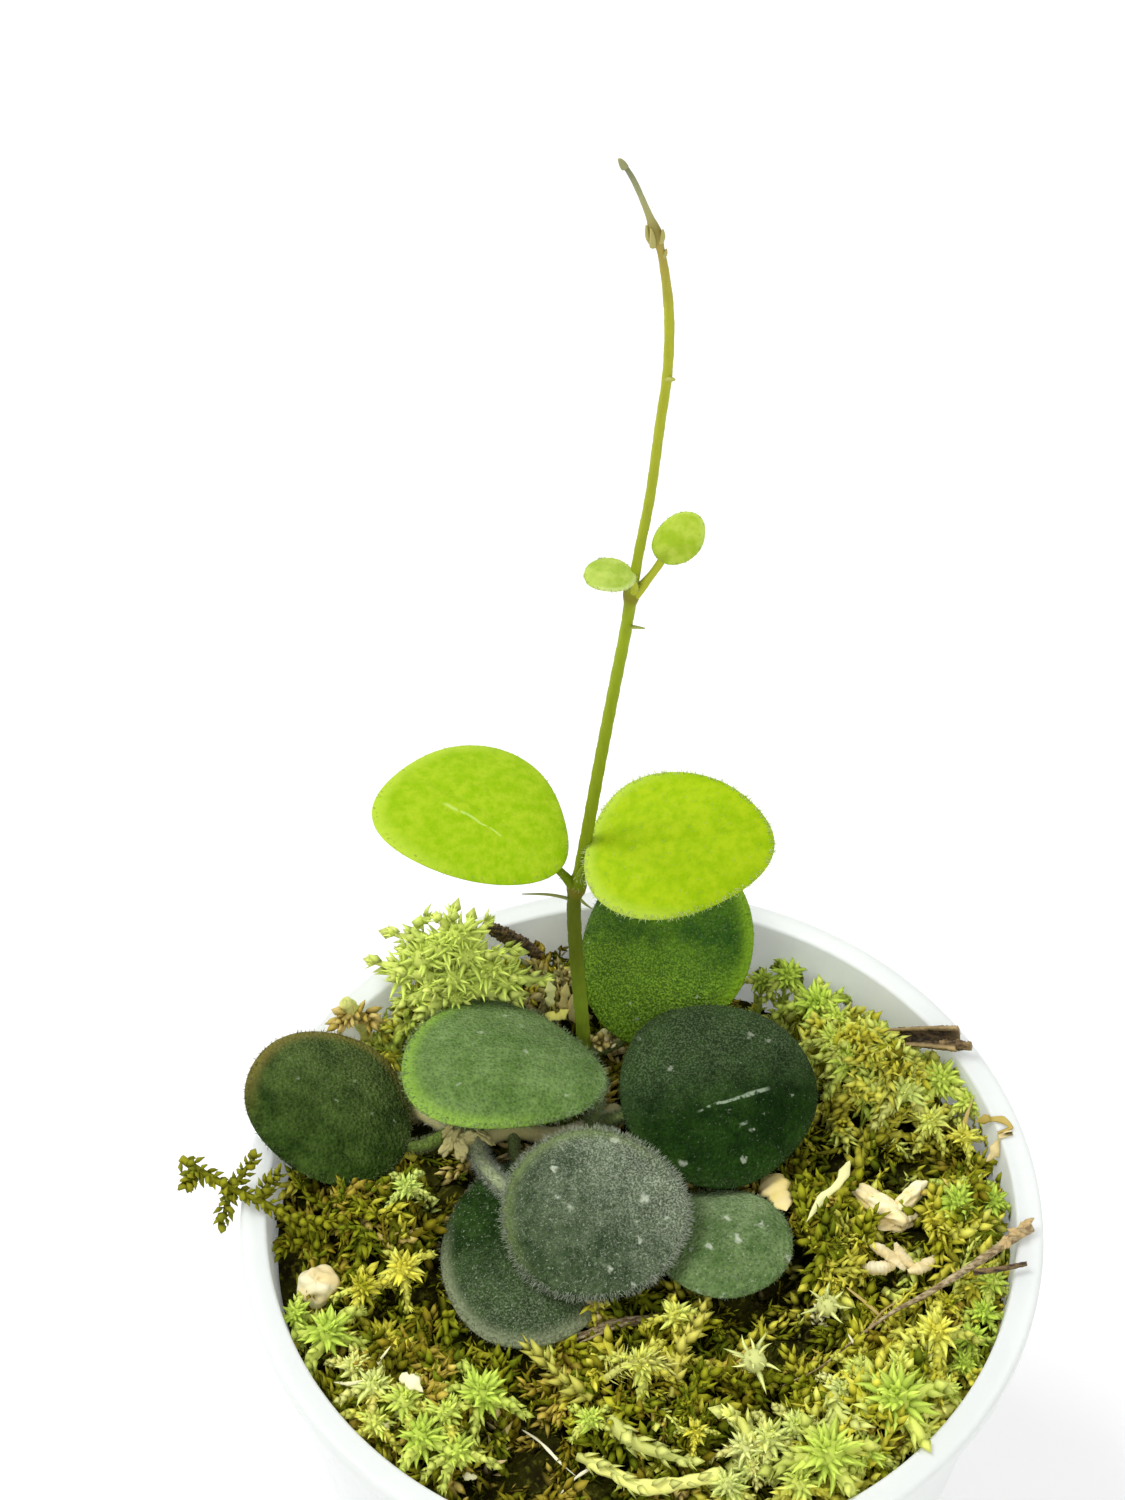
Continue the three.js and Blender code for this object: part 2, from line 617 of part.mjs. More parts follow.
// A runner of moss hangs over the rim on the left, a thick pale moss stalk curves
// along the front, and a cut one stands against the wall at the back left.
addRod('moss_runner_left', smoothCurve(MOSS_RUNNER_ROUTE), taper(...MOSS_RUNNER_RADII), 16, MOSS_OLIVE);
const stalkCurve = layOnGround(MOSS_STALK_ROUTE, MOSS_STALK_RADIUS);
addRod('moss_stalk_front', stalkCurve, () => MOSS_STALK_RADIUS, 16, MOSS_LIME);
addRod('moss_stub_back_left', smoothCurve(MOSS_STUB_ROUTE), () => MOSS_STUB_RADIUS, 8, MOSS_OCHRE);

// Twigs lie on the moss; the long one ends on the rim at the right.
addRod('twig_long', smoothCurve(LONG_TWIG_ROUTE), taper(...LONG_TWIG_RADII), 22, BARK);
addRod('twig_thin', smoothCurve(THIN_TWIG_ROUTE), taper(...THIN_TWIG_RADII), 8, BARK);
const fibrousCurve = layOnGround(FIBROUS_TWIG_ROUTE, FIBROUS_TWIG_RADIUS);
addRod('twig_fibrous', fibrousCurve, () => FIBROUS_TWIG_RADIUS, 12, BARK);

// A dark strip of bark by the back wall and two pale flakes; a curled tube of bark
// rests on the right rim, and a round chip lies in the moss on the left.
for (const flake of FLAKES) {
  addFlake(...flake);
}
const barkTube = addPiece(aboveRim, 'bark_tube', makeBarkTube(), BARK, 0.9);
barkTube.position.set(...TUBE_PLACE);
barkTube.rotation.set(...TUBE_TURN.map(degrees), 'ZYX');
const chipShape = new THREE.DodecahedronGeometry(CHIP_RADIUS);
const chip = addPiece(aboveRim, 'wood_chip_round', chipShape, PALE_WOOD, 0.8);
chip.scale.set(1, 1, CHIP_FLATNESS);
chip.position.set(...CHIP_PLACE, bedHeight(...CHIP_PLACE) + CHIP_LIFT);

export default pottedHoya;
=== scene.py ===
"""Looks of a small creeping hoya that grows in living moss, in a translucent nursery pot.

Shapes are worked out in millimetres, with heights measured from the pot's rim plane, and
put into the meshes in metres. -Y is the front. Every surface is a numpy array of points.
"""
import math
from typing import NamedTuple

import bpy
import numpy as np
from mathutils import Matrix, Vector


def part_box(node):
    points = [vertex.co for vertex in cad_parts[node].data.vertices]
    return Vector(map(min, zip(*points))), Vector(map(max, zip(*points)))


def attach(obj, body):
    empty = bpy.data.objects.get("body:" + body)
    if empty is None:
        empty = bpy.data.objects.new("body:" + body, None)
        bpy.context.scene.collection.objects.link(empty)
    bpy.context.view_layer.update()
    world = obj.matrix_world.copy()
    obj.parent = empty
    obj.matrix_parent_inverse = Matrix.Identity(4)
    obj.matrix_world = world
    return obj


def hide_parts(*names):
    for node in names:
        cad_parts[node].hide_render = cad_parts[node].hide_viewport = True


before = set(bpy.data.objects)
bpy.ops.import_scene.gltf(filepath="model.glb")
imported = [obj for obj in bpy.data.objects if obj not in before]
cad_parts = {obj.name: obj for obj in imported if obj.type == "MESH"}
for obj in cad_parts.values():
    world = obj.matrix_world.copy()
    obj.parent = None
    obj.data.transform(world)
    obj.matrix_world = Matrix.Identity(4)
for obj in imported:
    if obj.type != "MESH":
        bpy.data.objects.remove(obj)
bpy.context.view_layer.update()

MM = 0.001
RIM_RADIUS, _, RIM_HEIGHT = np.array(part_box("pot")[1]) / MM
GOLDEN_TURN = math.radians(137.5)
# Seed of the random choices in each group of pieces; the first of several pieces in a row
SEEDS = {
    "cushions": 100, "carpet": 41, "upright": 31, "low_stems": 57, "leaves": 300, "wood": 71,
    "moss_rods": 83,
}


def shade(red, green, blue):
    """Linear colour of a tone that is given as it looks, 0 to 255 for each channel."""
    tone = np.array([red, green, blue]) / 255
    linear = np.where(tone <= 0.04045, tone / 12.92, ((tone + 0.055) / 1.055) ** 2.4)
    return (*linear.tolist(), 1.0)


# Camera, 286 mm from the middle of the rim

CAMERA_LENS = 60.0
CAMERA_LONG_SIDE = 36.0
CAMERA_PLACE = (0.0, -156.4, 317.1)
CAMERA_YAW = math.radians(-3.16)
CAMERA_PITCH = math.radians(46.77)
CAMERA_ROLL = math.radians(-0.22)


def place_camera():
    """Looks along a heading turned from +Y by the yaw, down by the pitch, with a slight roll."""
    data = bpy.data.cameras.new("camera")
    data.lens = CAMERA_LENS
    data.sensor_width = CAMERA_LONG_SIDE
    data.sensor_fit = "AUTO"
    data.clip_start = 0.01
    data.clip_end = 20.0
    camera = bpy.data.objects.new("camera", data)
    bpy.context.scene.collection.objects.link(camera)
    sine, cosine = math.sin(CAMERA_YAW), math.cos(CAMERA_YAW)
    level, drop = math.cos(CAMERA_PITCH), math.sin(CAMERA_PITCH)
    forward = Vector((sine * level, cosine * level, -drop))
    right = Vector((cosine, -sine, 0.0))
    up = right.cross(forward)
    rolled_right = math.cos(CAMERA_ROLL) * right + math.sin(CAMERA_ROLL) * up
    rolled_up = math.cos(CAMERA_ROLL) * up - math.sin(CAMERA_ROLL) * right
    turn = Matrix((rolled_right, rolled_up, -forward)).transposed().to_4x4()
    camera.matrix_world = Matrix.Translation(Vector(CAMERA_PLACE) * MM) @ turn
    bpy.context.scene.camera = camera


place_camera()


# Shader maths


class Socket:
    """One output of a finish's node tree; sums, products and quotients of it add Math nodes."""

    def __init__(self, finish, output):
        self.finish = finish
        self.output = output

    def _maths(self, operation, *values):
        return self.finish.node("ShaderNodeMath", {"operation": operation}, *values)

    def __add__(self, other):
        return self._maths("ADD", self, other)

    def __sub__(self, other):
        return self._maths("SUBTRACT", self, other)

    def __rsub__(self, other):
        return self._maths("SUBTRACT", other, self)

    def __mul__(self, other):
        return self._maths("MULTIPLY", self, other)

    def __truediv__(self, other):
        return self._maths("DIVIDE", self, other)

    def __abs__(self):
        return self._maths("ABSOLUTE", self)

    __radd__ = __add__
    __rmul__ = __mul__

    def out(self, name):
        """Another output of the same node."""
        return Socket(self.finish, self.output.node.outputs[name])

    def rises(self, low, high):
        """0 below low, 1 above high, and a smooth step between."""
        settings = {"interpolation_type": "SMOOTHSTEP"}
        return self.finish.node("ShaderNodeMapRange", settings, self, low, high)


class Finish:
    """A material whose nodes are added one call at a time."""

    def __init__(self, name):
        self.material = bpy.data.materials.new(name)
        self.material.use_nodes = True
        self.tree = self.material.node_tree
        self.shader = self.tree.nodes["Principled BSDF"]

    def node(self, kind, settings, *values, **named):
        """Adds one node: its settings first, then its enabled inputs in order, or by name."""
        added = self.tree.nodes.new(kind)
        for key, value in settings.items():
            if key == "stops":
                self._stops(added.color_ramp, value)
            else:
                setattr(added, key, value)
        inputs = [socket for socket in added.inputs if socket.enabled]
        for socket, value in zip(inputs, values):
            self._feed(socket, value)
        for key, value in named.items():
            self._feed(added.inputs[key], value)
        return Socket(self, next(output for output in added.outputs if output.enabled))

    def _stops(self, ramp, stops):
        while len(ramp.elements) < len(stops):
            ramp.elements.new(1.0)
        for element, (position, colour) in zip(ramp.elements, stops):
            element.position = position
            element.color = colour

    def _feed(self, socket, value):
        if isinstance(value, Socket):
            self.tree.links.new(value.output, socket)
        elif value is not None:
            socket.default_value = value

    def mix(self, share, first, second):
        """A colour between two, by a share that is a socket."""
        return self.node("ShaderNodeMix", {"data_type": "RGBA"}, share, first, second)

    def scaled(self, colour, share):
        """A colour made darker or lighter by a share."""
        return self.node("ShaderNodeVectorMath", {"operation": "SCALE"}, colour, Scale=share)

    def place(self):
        """The point of the surface, in metres from the pot's underside."""
        return self.node("ShaderNodeTexCoord", {}).out("Object")

    def grain(self, size, detail=2.0, stretch=(1, 1, 1), roughness=0.5):
        """Noise from 0 to 1 whose patches are about the given size in mm."""
        scaled = self.node("ShaderNodeMapping", {}, self.place(), Scale=stretch)
        named = {"Scale": 1 / (size * MM), "Detail": detail, "Roughness": roughness}
        return self.node("ShaderNodeTexNoise", {}, Vector=scaled, **named)

    def cells(self, size):
        """Distance from the middle of the nearest cell, for cells about size mm wide."""
        return self.node("ShaderNodeTexVoronoi", {}, Vector=self.place(), Scale=1 / (size * MM))

    def notes(self, name="notes"):
        """The three numbers that the mesh carries at each point."""
        attribute = self.node("ShaderNodeAttribute", {"attribute_name": name}).out("Vector")
        parts = self.node("ShaderNodeSeparateXYZ", {}, attribute)
        return parts.out("X"), parts.out("Y"), parts.out("Z")

    def bump(self, height, depth, strength=1.0):
        """Relief of the given depth in mm."""
        return self.node("ShaderNodeBump", {}, Height=height, Distance=depth * MM, Strength=strength)

    def finish(self, colour, roughness, normal=None, **constants):
        """Feeds the surface shader; named constants go straight to its sockets."""
        self._feed(self.shader.inputs["Base Color"], colour)
        self._feed(self.shader.inputs["Roughness"], roughness)
        self._feed(self.shader.inputs["Normal"], normal)
        for key, value in constants.items():
            self._feed(self.shader.inputs[key.replace("_", " ")], value)
        return self.material


# Finishes


def plastic_finish():
    """Milky translucent polypropylene: faint clouds and waviness, fine scuffs, and a faint glow of painted
    light.
    """
    finish = Finish("milky_plastic")
    scuff = finish.grain(0.7, 4.0, (1, 1, 0.25)).rises(0.55, 0.8)
    cloud = finish.grain(9.0, 2.0)
    colour = finish.mix(cloud, shade(234, 238, 236), shade(243, 246, 243))
    colour = finish.mix(scuff * 0.5, colour, shade(230, 234, 232))
    waves = finish.grain(14.0, 1.0)
    return finish.finish(
        colour,
        0.36 + 0.16 * scuff,
        finish.bump(waves, 0.25, 0.6),
        # A faint white glow over the whole cup: painted light, standing in for the light that comes through
        # its walls.
        Emission_Color=(1.0, 1.0, 1.0, 1.0),
        Emission_Strength=0.065,
        Transmission_Weight=0.3,
        IOR=1.36,
        Specular_IOR_Level=0.4,
    )


def medium_finish():
    """Damp brown mix with paler fibres and a few grey crumbs."""
    finish = Finish("growing_medium")
    blotch = finish.grain(4.0, 4.0)
    fibre = finish.grain(0.8, 3.0, (0.25, 0.25, 1.6)).rises(0.5, 0.72)
    earth = finish.mix(blotch, shade(46, 33, 20), shade(104, 84, 50))
    colour = finish.mix(fibre, earth, shade(168, 146, 96))
    return finish.finish(colour, 0.9, finish.bump(blotch + fibre, 0.6))


def bed_finish():
    """Old moss between the living shoots, nearly black: partly its own dark tone, partly painted shade of the
    hollows; olive patches and specks by noise.
    """
    finish = Finish("old_moss_and_shade")
    fine = finish.grain(0.7, 4.0)
    patch = finish.grain(3.5, 3.0)
    # Near-black base tones: the old moss's own dark colour, and painted shade of the hollows between the
    # shoots.
    old = finish.mix(patch.rises(0.35, 0.65), shade(30, 26, 8), shade(54, 54, 14))
    colour = finish.mix(fine.rises(0.5, 0.7), old, shade(88, 88, 26))
    return finish.finish(colour, 0.9, finish.bump(fine + patch, 0.5), Specular_IOR_Level=0.05)


# Tones of the moss by age, from a fresh shoot to a dead brown one
MOSS_AGES = [
    (0.0, shade(186, 212, 80)),
    (0.15, shade(204, 222, 98)),
    (0.3, shade(222, 230, 116)),
    (0.43, shade(226, 218, 80)),
    (0.53, shade(166, 166, 36)),
    (0.61, shade(100, 114, 20)),
    (0.7, shade(136, 122, 28)),
    (0.8, shade(212, 190, 84)),
    (0.9, shade(224, 204, 146)),
    (1.0, shade(140, 112, 62)),
]
BLEACHED_MOSS = shade(236, 232, 200)
BROWN_MOSS = shade(92, 62, 34)
DEEP_MOSS_IN_SHADE = shade(84, 70, 20)


def moss_finish():
    """Moss leaves with painted shade: dark where they join, lit towards the tip, and darker and browner deep
    in the cushion, which is partly older moss and partly painted shade.

    The notes give the share along the leaf, chance and age; the spot gives how bleached and
    how brown the shoot is, and its height over the ground.
    """
    finish = Finish("living_moss")
    along, chance, age = finish.notes()
    bleached, brown, lift = finish.notes("spot")
    drift = finish.grain(2.2, 2.0)
    ripe = age + (drift - 0.5) * 0.14 + (chance - 0.5) * 0.05
    fresh = finish.node("ShaderNodeValToRGB", {"stops": MOSS_AGES}, ripe)
    colour = finish.mix(bleached, fresh, BLEACHED_MOSS)
    colour = finish.mix(brown, colour, BROWN_MOSS)
    # Deep in the cushion the moss turns browner and darker: partly older moss, partly painted shade.
    colour = finish.mix((1 - lift.rises(0.1, 0.55)) * 0.6, colour, DEEP_MOSS_IN_SHADE)
    # Painted shade: darker at the leaf's base and low over the ground, times a random tone for each shoot.
    lit = (0.6 + 0.5 * along.rises(0.0, 0.8)) * (0.8 + 0.4 * chance) * (0.14 + 0.92 * lift.rises(0.08, 0.8))
    colour = finish.scaled(colour, lit)
    ribs = finish.grain(0.22, 2.0)
    return finish.finish(colour, 0.6, finish.bump(ribs, 0.05, 0.6), Specular_IOR_Level=0.05)


SPECK_TONE = shade(196, 204, 180)
BLOT_TONE = shade(196, 204, 182)


def flecked(finish, skin, look):
    """Fine silver specks, and larger blots with ragged edges in some of the cells."""
    share = look["flecks"]
    speck = finish.grain(0.3, 2.0, roughness=0.7).rises(0.66 - 0.1 * share, 0.74)
    skin = finish.mix(speck * (0.6 * share), skin, SPECK_TONE)
    chosen = finish.grain(2.6, 1.0).rises(0.52, 0.56)
    ragged = finish.cells(2.6) + (finish.grain(0.5) - 0.5) * 0.45
    blot = 1 - ragged.rises(0.08, 0.13 + look["blots"])
    return finish.mix(blot * chosen * (0.8 * share) ** 0.5, skin, BLOT_TONE)


def scratched(finish, skin, look, along, across):
    """Pale broken lines along the blade, each wider towards its far end.

    A mark is where it starts and stops along the blade, its place across and slope, its
    half width and its strength.
    """
    for start, stop, middle, slope, half, strength in look["marks"]:
        wavy = abs(across - middle - slope * along + (finish.grain(2.0, 1.0) - 0.5) * 0.06)
        line = 1 - (wavy / (0.4 + 0.6 * along.rises(start, stop))).rises(half * 0.4, half)
        dash = finish.grain(0.9, 2.0).rises(0.36, 0.5)
        ends = along.rises(start, start + 0.1) * (1 - along.rises(stop - 0.1, stop))
        skin = finish.mix(line * dash * ends * strength, skin, look["mark"])
    return skin


def leaf_finish(name, look):
    """A hoya blade: pebbled skin with painted shade and glints, mottled green, tinted rim, a pale haze that
    is partly frosty down and partly painted sheen, pale down and silver flecks.

    The notes give the nearness to the rim, chance, and 1 on hairs; the spot gives the place
    on the blade, -1 to 1 along and across, and 1 on the stalk.
    """
    finish = Finish(name)
    edge, _, hair = finish.notes()
    along, across, stalk = finish.notes("spot")
    pebble = finish.cells(0.42)
    mottle = finish.grain(look["patch"], 3.0) + (finish.grain(0.8, 2.0) - 0.5) * 0.5
    fine = finish.grain(0.34, 3.0)
    skin = finish.mix(mottle.rises(0.28, 0.72), look["deep"], look["light"])
    # Painted shade and light on the pebbled relief: darker in the middle of each cell, lighter towards its
    # edge.
    skin = finish.scaled(skin, 1 - look["pebbles"] * (0.45 - 0.75 * pebble.rises(0.0, 0.6) * fine))
    # Painted glints: pale dots in the middle of the cells.
    skin = finish.mix((1 - pebble.rises(0.06, 0.34)) * fine * look["beads"], skin, look["down"])
    # A pale haze that thickens towards one side of the blade: partly frosty down, partly painted sheen.
    side_along, side_across, dust = look["dust"]
    haze = (along * side_along + across * side_across + (mottle - 0.5) * 0.7).rises(-0.5, 0.8)
    frost = 0.2 + 0.8 * finish.grain(0.22, 2.0).rises(0.45, 0.62)
    skin = finish.mix(haze * frost * dust, skin, look["down"])
    skin = flecked(finish, skin, look)
    rim_along, rim_across = look["rim_side"]
    facing = (along * rim_along + across * rim_across + 0.3).rises(0.0, 0.9)
    skin = finish.mix(edge.rises(0.8, 1.0) * 0.85 * facing, skin, look["rim"])
    skin = scratched(finish, skin, look, along, across)
    skin = finish.mix(stalk, skin, look["stalk"])
    colour = finish.mix(hair, skin, look["down"])
    relief = finish.bump(pebble + 0.5 * fine, 0.24 * look["pebbles"] + 0.02, 0.9)
    return finish.finish(
        colour,
        look["gloss"] + 0.15 * fine,
        relief,
        Subsurface_Weight=look["glow"],
        Subsurface_Scale=0.001,
        Subsurface_Radius=(0.5, 1.0, 0.15),
        Specular_IOR_Level=look["shine"],
    )


def stem_finish(name, tones, joint, down):
    """A stem toned along its length: the notes give the share along it, the joints' swelling,
    and 1 on hairs."""
    finish = Finish(name)
    share, swelling, hair = finish.notes()
    streak = finish.grain(0.5, 3.0, (1, 1, 0.2))
    green = finish.node("ShaderNodeValToRGB", {"stops": tones}, share)
    green = finish.scaled(green, 0.8 + 0.4 * streak)
    colour = finish.mix(swelling * (0.4 + 0.6 * streak), green, joint)
    colour = finish.mix(hair, colour, down)
    return finish.finish(colour, 0.55, finish.bump(streak, 0.12), Specular_IOR_Level=0.15)


BARE_WOOD = shade(206, 178, 122)


def wood_finish(name, dark, light, size):
    """Wood or bark: streaks and cracks; the notes give depth, chance and how bare it is. Low depth and chance
    notes darken it: random tone on the rods, painted shade inside the bark curl and under the forked flake,
    and on the strip its own dark bark with painted shade.
    """
    finish = Finish(name)
    depth, chance, bare = finish.notes()
    streak = finish.grain(size, 4.0, (0.5, 1.2, 1.2))
    spots = finish.grain(size * 2.5, 3.0)
    colour = finish.mix(streak.rises(0.35, 0.65), dark, light)
    colour = finish.mix(bare, colour, BARE_WOOD)
    colour = finish.scaled(colour, (0.5 + 0.5 * depth) * (0.72 + 0.3 * chance + 0.3 * spots))
    return finish.finish(colour, 0.8, finish.bump(streak + spots, 0.25))


# Meshes


def stack(*values):
    """Rows of three numbers from values of any matching shapes."""
    return np.stack(np.broadcast_arrays(*values), -1).reshape(-1, 3)


class Shell:
    """Gathers the closed surfaces of one piece, with three notes and a spot at each point."""

    def __init__(self):
        self.points = []
        self.triangles = []
        self.notes = []
        self.spots = []
        self.count = 0

    def add(self, points, triangles, notes, spots=(0.0, 0.0, 0.0)):
        points = np.asarray(points, float).reshape(-1, 3)
        self.points.append(points)
        self.triangles.append(np.asarray(triangles).reshape(-1, 3) + self.count)
        self.notes.append(np.broadcast_to(np.asarray(notes, float), points.shape))
        self.spots.append(np.broadcast_to(np.asarray(spots, float), points.shape))
        self.count += len(points)

    def mesh(self, name):
        """The mesh in metres, heights from the pot's underside."""
        points = (np.concatenate(self.points) + (0, 0, RIM_HEIGHT)) * MM
        corners = np.concatenate(self.triangles)
        mesh = bpy.data.meshes.new(name)
        mesh.vertices.add(len(points))
        mesh.vertices.foreach_set("co", points.astype(np.float32).ravel())
        mesh.loops.add(corners.size)
        mesh.loops.foreach_set("vertex_index", corners.astype(np.int32).ravel())
        mesh.polygons.add(len(corners))
        mesh.polygons.foreach_set("loop_start", np.arange(0, corners.size, 3, dtype=np.int32))
        mesh.update(calc_edges=True)
        return mesh

    def piece(self, name, material, nodes):
        """Makes the object at the origin and hides the nodes of the model that it stands for."""
        mesh = self.mesh(name)
        mesh.polygons.foreach_set("use_smooth", np.ones(len(mesh.polygons), bool))
        for key, values in (("notes", self.notes), ("spot", self.spots)):
            layer = mesh.attributes.new(key, "FLOAT_VECTOR", "POINT")
            layer.data.foreach_set("vector", np.concatenate(values).astype(np.float32).ravel())
        mesh.materials.append(material)
        made = bpy.data.objects.new(name, mesh)
        bpy.context.scene.collection.objects.link(made)
        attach(made, "root")
        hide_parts(*nodes)
        return made


def unit(vectors):
    """Vectors made one long."""
    return vectors / np.maximum(np.linalg.norm(vectors, axis=-1, keepdims=True), 1e-9)


def capped_grid(rows, columns):
    """Triangles of a closed surface: a first pole, rings of points round it, and a last pole."""
    ring = np.arange(columns)
    beside = (ring + 1) % columns
    start = 1 + np.arange(rows - 1)[:, None] * columns
    a, b = start + ring, start + beside
    c, d = a + columns, b + columns
    walls = np.stack([a, b, d, a, d, c], -1).reshape(-1, 3)
    last = 1 + (rows - 1) * columns
    first_cap = np.stack([np.zeros_like(ring), beside + 1, ring + 1], -1)
    last_cap = np.stack([np.full_like(ring, last + columns), last + ring, last + beside], -1)
    return np.concatenate([walls, first_cap, last_cap])


def smooth_path(route, steps):
    """Points along a Catmull-Rom curve through the route, spaced evenly by length."""
    route = np.asarray(route, float)
    held = np.concatenate([[2 * route[0] - route[1]], route, [2 * route[-1] - route[-2]]])
    p0, p1, p2, p3 = held[:-3, None], held[1:-2, None], held[2:-1, None], held[3:, None]
    t = np.linspace(0, 1, 12, endpoint=False)[None, :, None]
    bends = 0.5 * (2 * p1 + (p2 - p0) * t + (2 * p0 - 5 * p1 + 4 * p2 - p3) * t**2
                   + (3 * p1 - p0 - 3 * p2 + p3) * t**3)
    dense = np.concatenate([bends.reshape(-1, 3), route[-1:]])
    lengths = np.concatenate([[0], np.cumsum(np.linalg.norm(np.diff(dense, axis=0), axis=1))])
    wanted = np.linspace(0, lengths[-1], steps)
    return np.stack([np.interp(wanted, lengths, dense[:, i]) for i in range(3)], -1)


def frames(paths, facing=None):
    """Forward, side and top directions along each path (n, steps, 3).

    The top leans to the facing direction, or is square to the axis that the path leans on
    least; the side is square to both.
    """
    forward = unit(np.gradient(paths, axis=1))
    if facing is None:
        least = np.abs(forward.mean(axis=1)).argmin(axis=1)
        side = unit(np.cross(forward, np.eye(3)[least][:, None, :]))
    else:
        side = unit(np.cross(facing, forward))
    return forward, side, np.cross(forward, side)


def tubes(paths, radii, sides, flat=1.0, facing=None):
    """Closed tubes: on each ring the point is the centre plus the radius times
    (cos a side + flat sin a top). Returns points, triangles and the share along."""
    paths = np.asarray(paths, float)
    total, steps, _ = paths.shape
    _, side, top = frames(paths, facing)
    angle = np.linspace(0, 2 * math.pi, sides, endpoint=False)
    spoke = np.cos(angle)[:, None] * side[:, :, None]
    spoke = spoke + flat * np.sin(angle)[:, None] * top[:, :, None]
    rings = paths[:, :, None] + np.broadcast_to(radii, (total, steps))[:, :, None, None] * spoke
    points = np.concatenate([paths[:, :1], rings.reshape(total, -1, 3), paths[:, -1:]], axis=1)
    share = np.repeat(np.linspace(0, 1, steps), sides)
    share = np.broadcast_to(np.concatenate([[0], share, [1]]), points.shape[:2])
    offsets = np.arange(total)[:, None, None] * points.shape[1]
    return points, capped_grid(steps, sides) + offsets, share


# Small closed shapes that are scattered in thousands: x forward, y across, z out
MOSS_LEAF = (
    np.array([[0, 0, 0], [0.36, -0.5, -0.08], [0.36, 0.5, -0.08], [0.4, 0, 0.2], [1, 0, 0.12]]),
    np.array([[0, 1, 3], [1, 4, 3], [4, 2, 3], [2, 0, 3], [0, 2, 1], [1, 2, 4]]),
)
MOSS_SCALE = (
    np.array([[0, 0, 0], [0.22, -0.44, 0], [0.22, 0.44, 0], [0.62, -0.4, 0.12], [0.62, 0.4, 0.12],
              [0.42, 0, 0.34], [0.42, 0, -0.1], [1, 0, 0.1]]),
    np.array([[0, 1, 5], [1, 3, 5], [3, 7, 5], [7, 4, 5], [4, 2, 5], [2, 0, 5],
              [1, 0, 6], [3, 1, 6], [7, 3, 6], [4, 7, 6], [2, 4, 6], [0, 2, 6]]),
)
HAIR = (
    np.array([[0, 0.5, 0], [0, -0.25, 0.43], [0, -0.25, -0.43], [1, 0, 0]]),
    np.array([[0, 1, 3], [1, 2, 3], [2, 0, 3], [0, 2, 1]]),
)
CURVED_HAIR = (
    np.array([[0, 0.5, 0], [0, -0.25, 0.43], [0, -0.25, -0.43], [0.55, 0.36, 1.6], [0.55, -0.18, 1.9],
              [0.55, -0.18, 1.3], [1, 0, 0.2]]),
    np.array([[0, 1, 3], [1, 4, 3], [1, 2, 4], [2, 5, 4], [2, 0, 5], [0, 3, 5], [3, 4, 6], [4, 5, 6],
              [5, 3, 6], [0, 2, 1]]),
)


def scatter(shape, origins, forward, across, lengths, widths):
    """Copies of a small shape: origin + x length forward + y width across + z width out."""
    points, triangles = shape
    out = np.cross(forward, across)
    lengths, widths = np.asarray(lengths)[:, None, None], np.asarray(widths)[:, None, None]
    x, y, z = (points[None, :, i, None] for i in range(3))
    placed = origins[:, None] + x * lengths * forward[:, None]
    placed = placed + widths * (y * across[:, None] + z * out[:, None])
    offsets = np.arange(len(origins))[:, None, None] * len(points)
    return placed, triangles + offsets, np.broadcast_to(points[None, :, 0], placed.shape[:2])


def any_across(forward, random):
    """A random direction square to each forward direction."""
    return unit(np.cross(forward, unit(random.normal(size=forward.shape))))


# Pot and growing medium

POT_SIDES = 160
WALL = 1.2
BODY_TOP_RADIUS = 43.5
BASE_RADIUS = 36.0
RIM_INNER_RADIUS = 42.0
RIM_DEPTH = 2.6
DRAIN_HOLES = 6
DRAIN_RADIUS = 1.8
DRAIN_CIRCLE = 26.0
MEDIUM_TOP = -24.0
MEDIUM_SIDES = 140


def inner_radius(height):
    """The inner wall's radius narrows evenly from the rim to the floor."""
    share = (np.asarray(height) + RIM_HEIGHT) / RIM_HEIGHT
    outer = BASE_RADIUS + (BODY_TOP_RADIUS - BASE_RADIUS) * share
    return np.minimum(outer - WALL, RIM_INNER_RADIUS)


def arc(centre, radius, start, stop, steps=6):
    """Profile points on a quarter or half circle, angles in degrees."""
    angle = np.radians(np.linspace(start, stop, steps))
    return np.stack([centre[0] + radius * np.cos(angle), centre[1] + radius * np.sin(angle)], -1)


def turned(shell, profile, sides, wobble=None):
    """A closed surface of revolution: a profile of radius and height that starts and ends
    on the axis, turned round it; a wobble moves radius and height by angle and height."""
    radius, height = np.asarray(profile, float)[1:-1].T
    angle = np.linspace(0, 2 * math.pi, sides, endpoint=False)
    radius, height = (np.repeat(values[:, None], sides, axis=1) for values in (radius, height))
    if wobble is not None:
        radius, height = wobble(radius, height, angle[None, :])
    rings = np.stack([radius * np.cos(angle), radius * np.sin(angle), height], -1)
    low = [[0, 0, height[0].mean()]]
    high = [[0, 0, height[-1].mean()]]
    points = np.concatenate([low, rings.reshape(-1, 3), high])
    shell.add(points, capped_grid(len(rings), sides), (1, 0, 0))


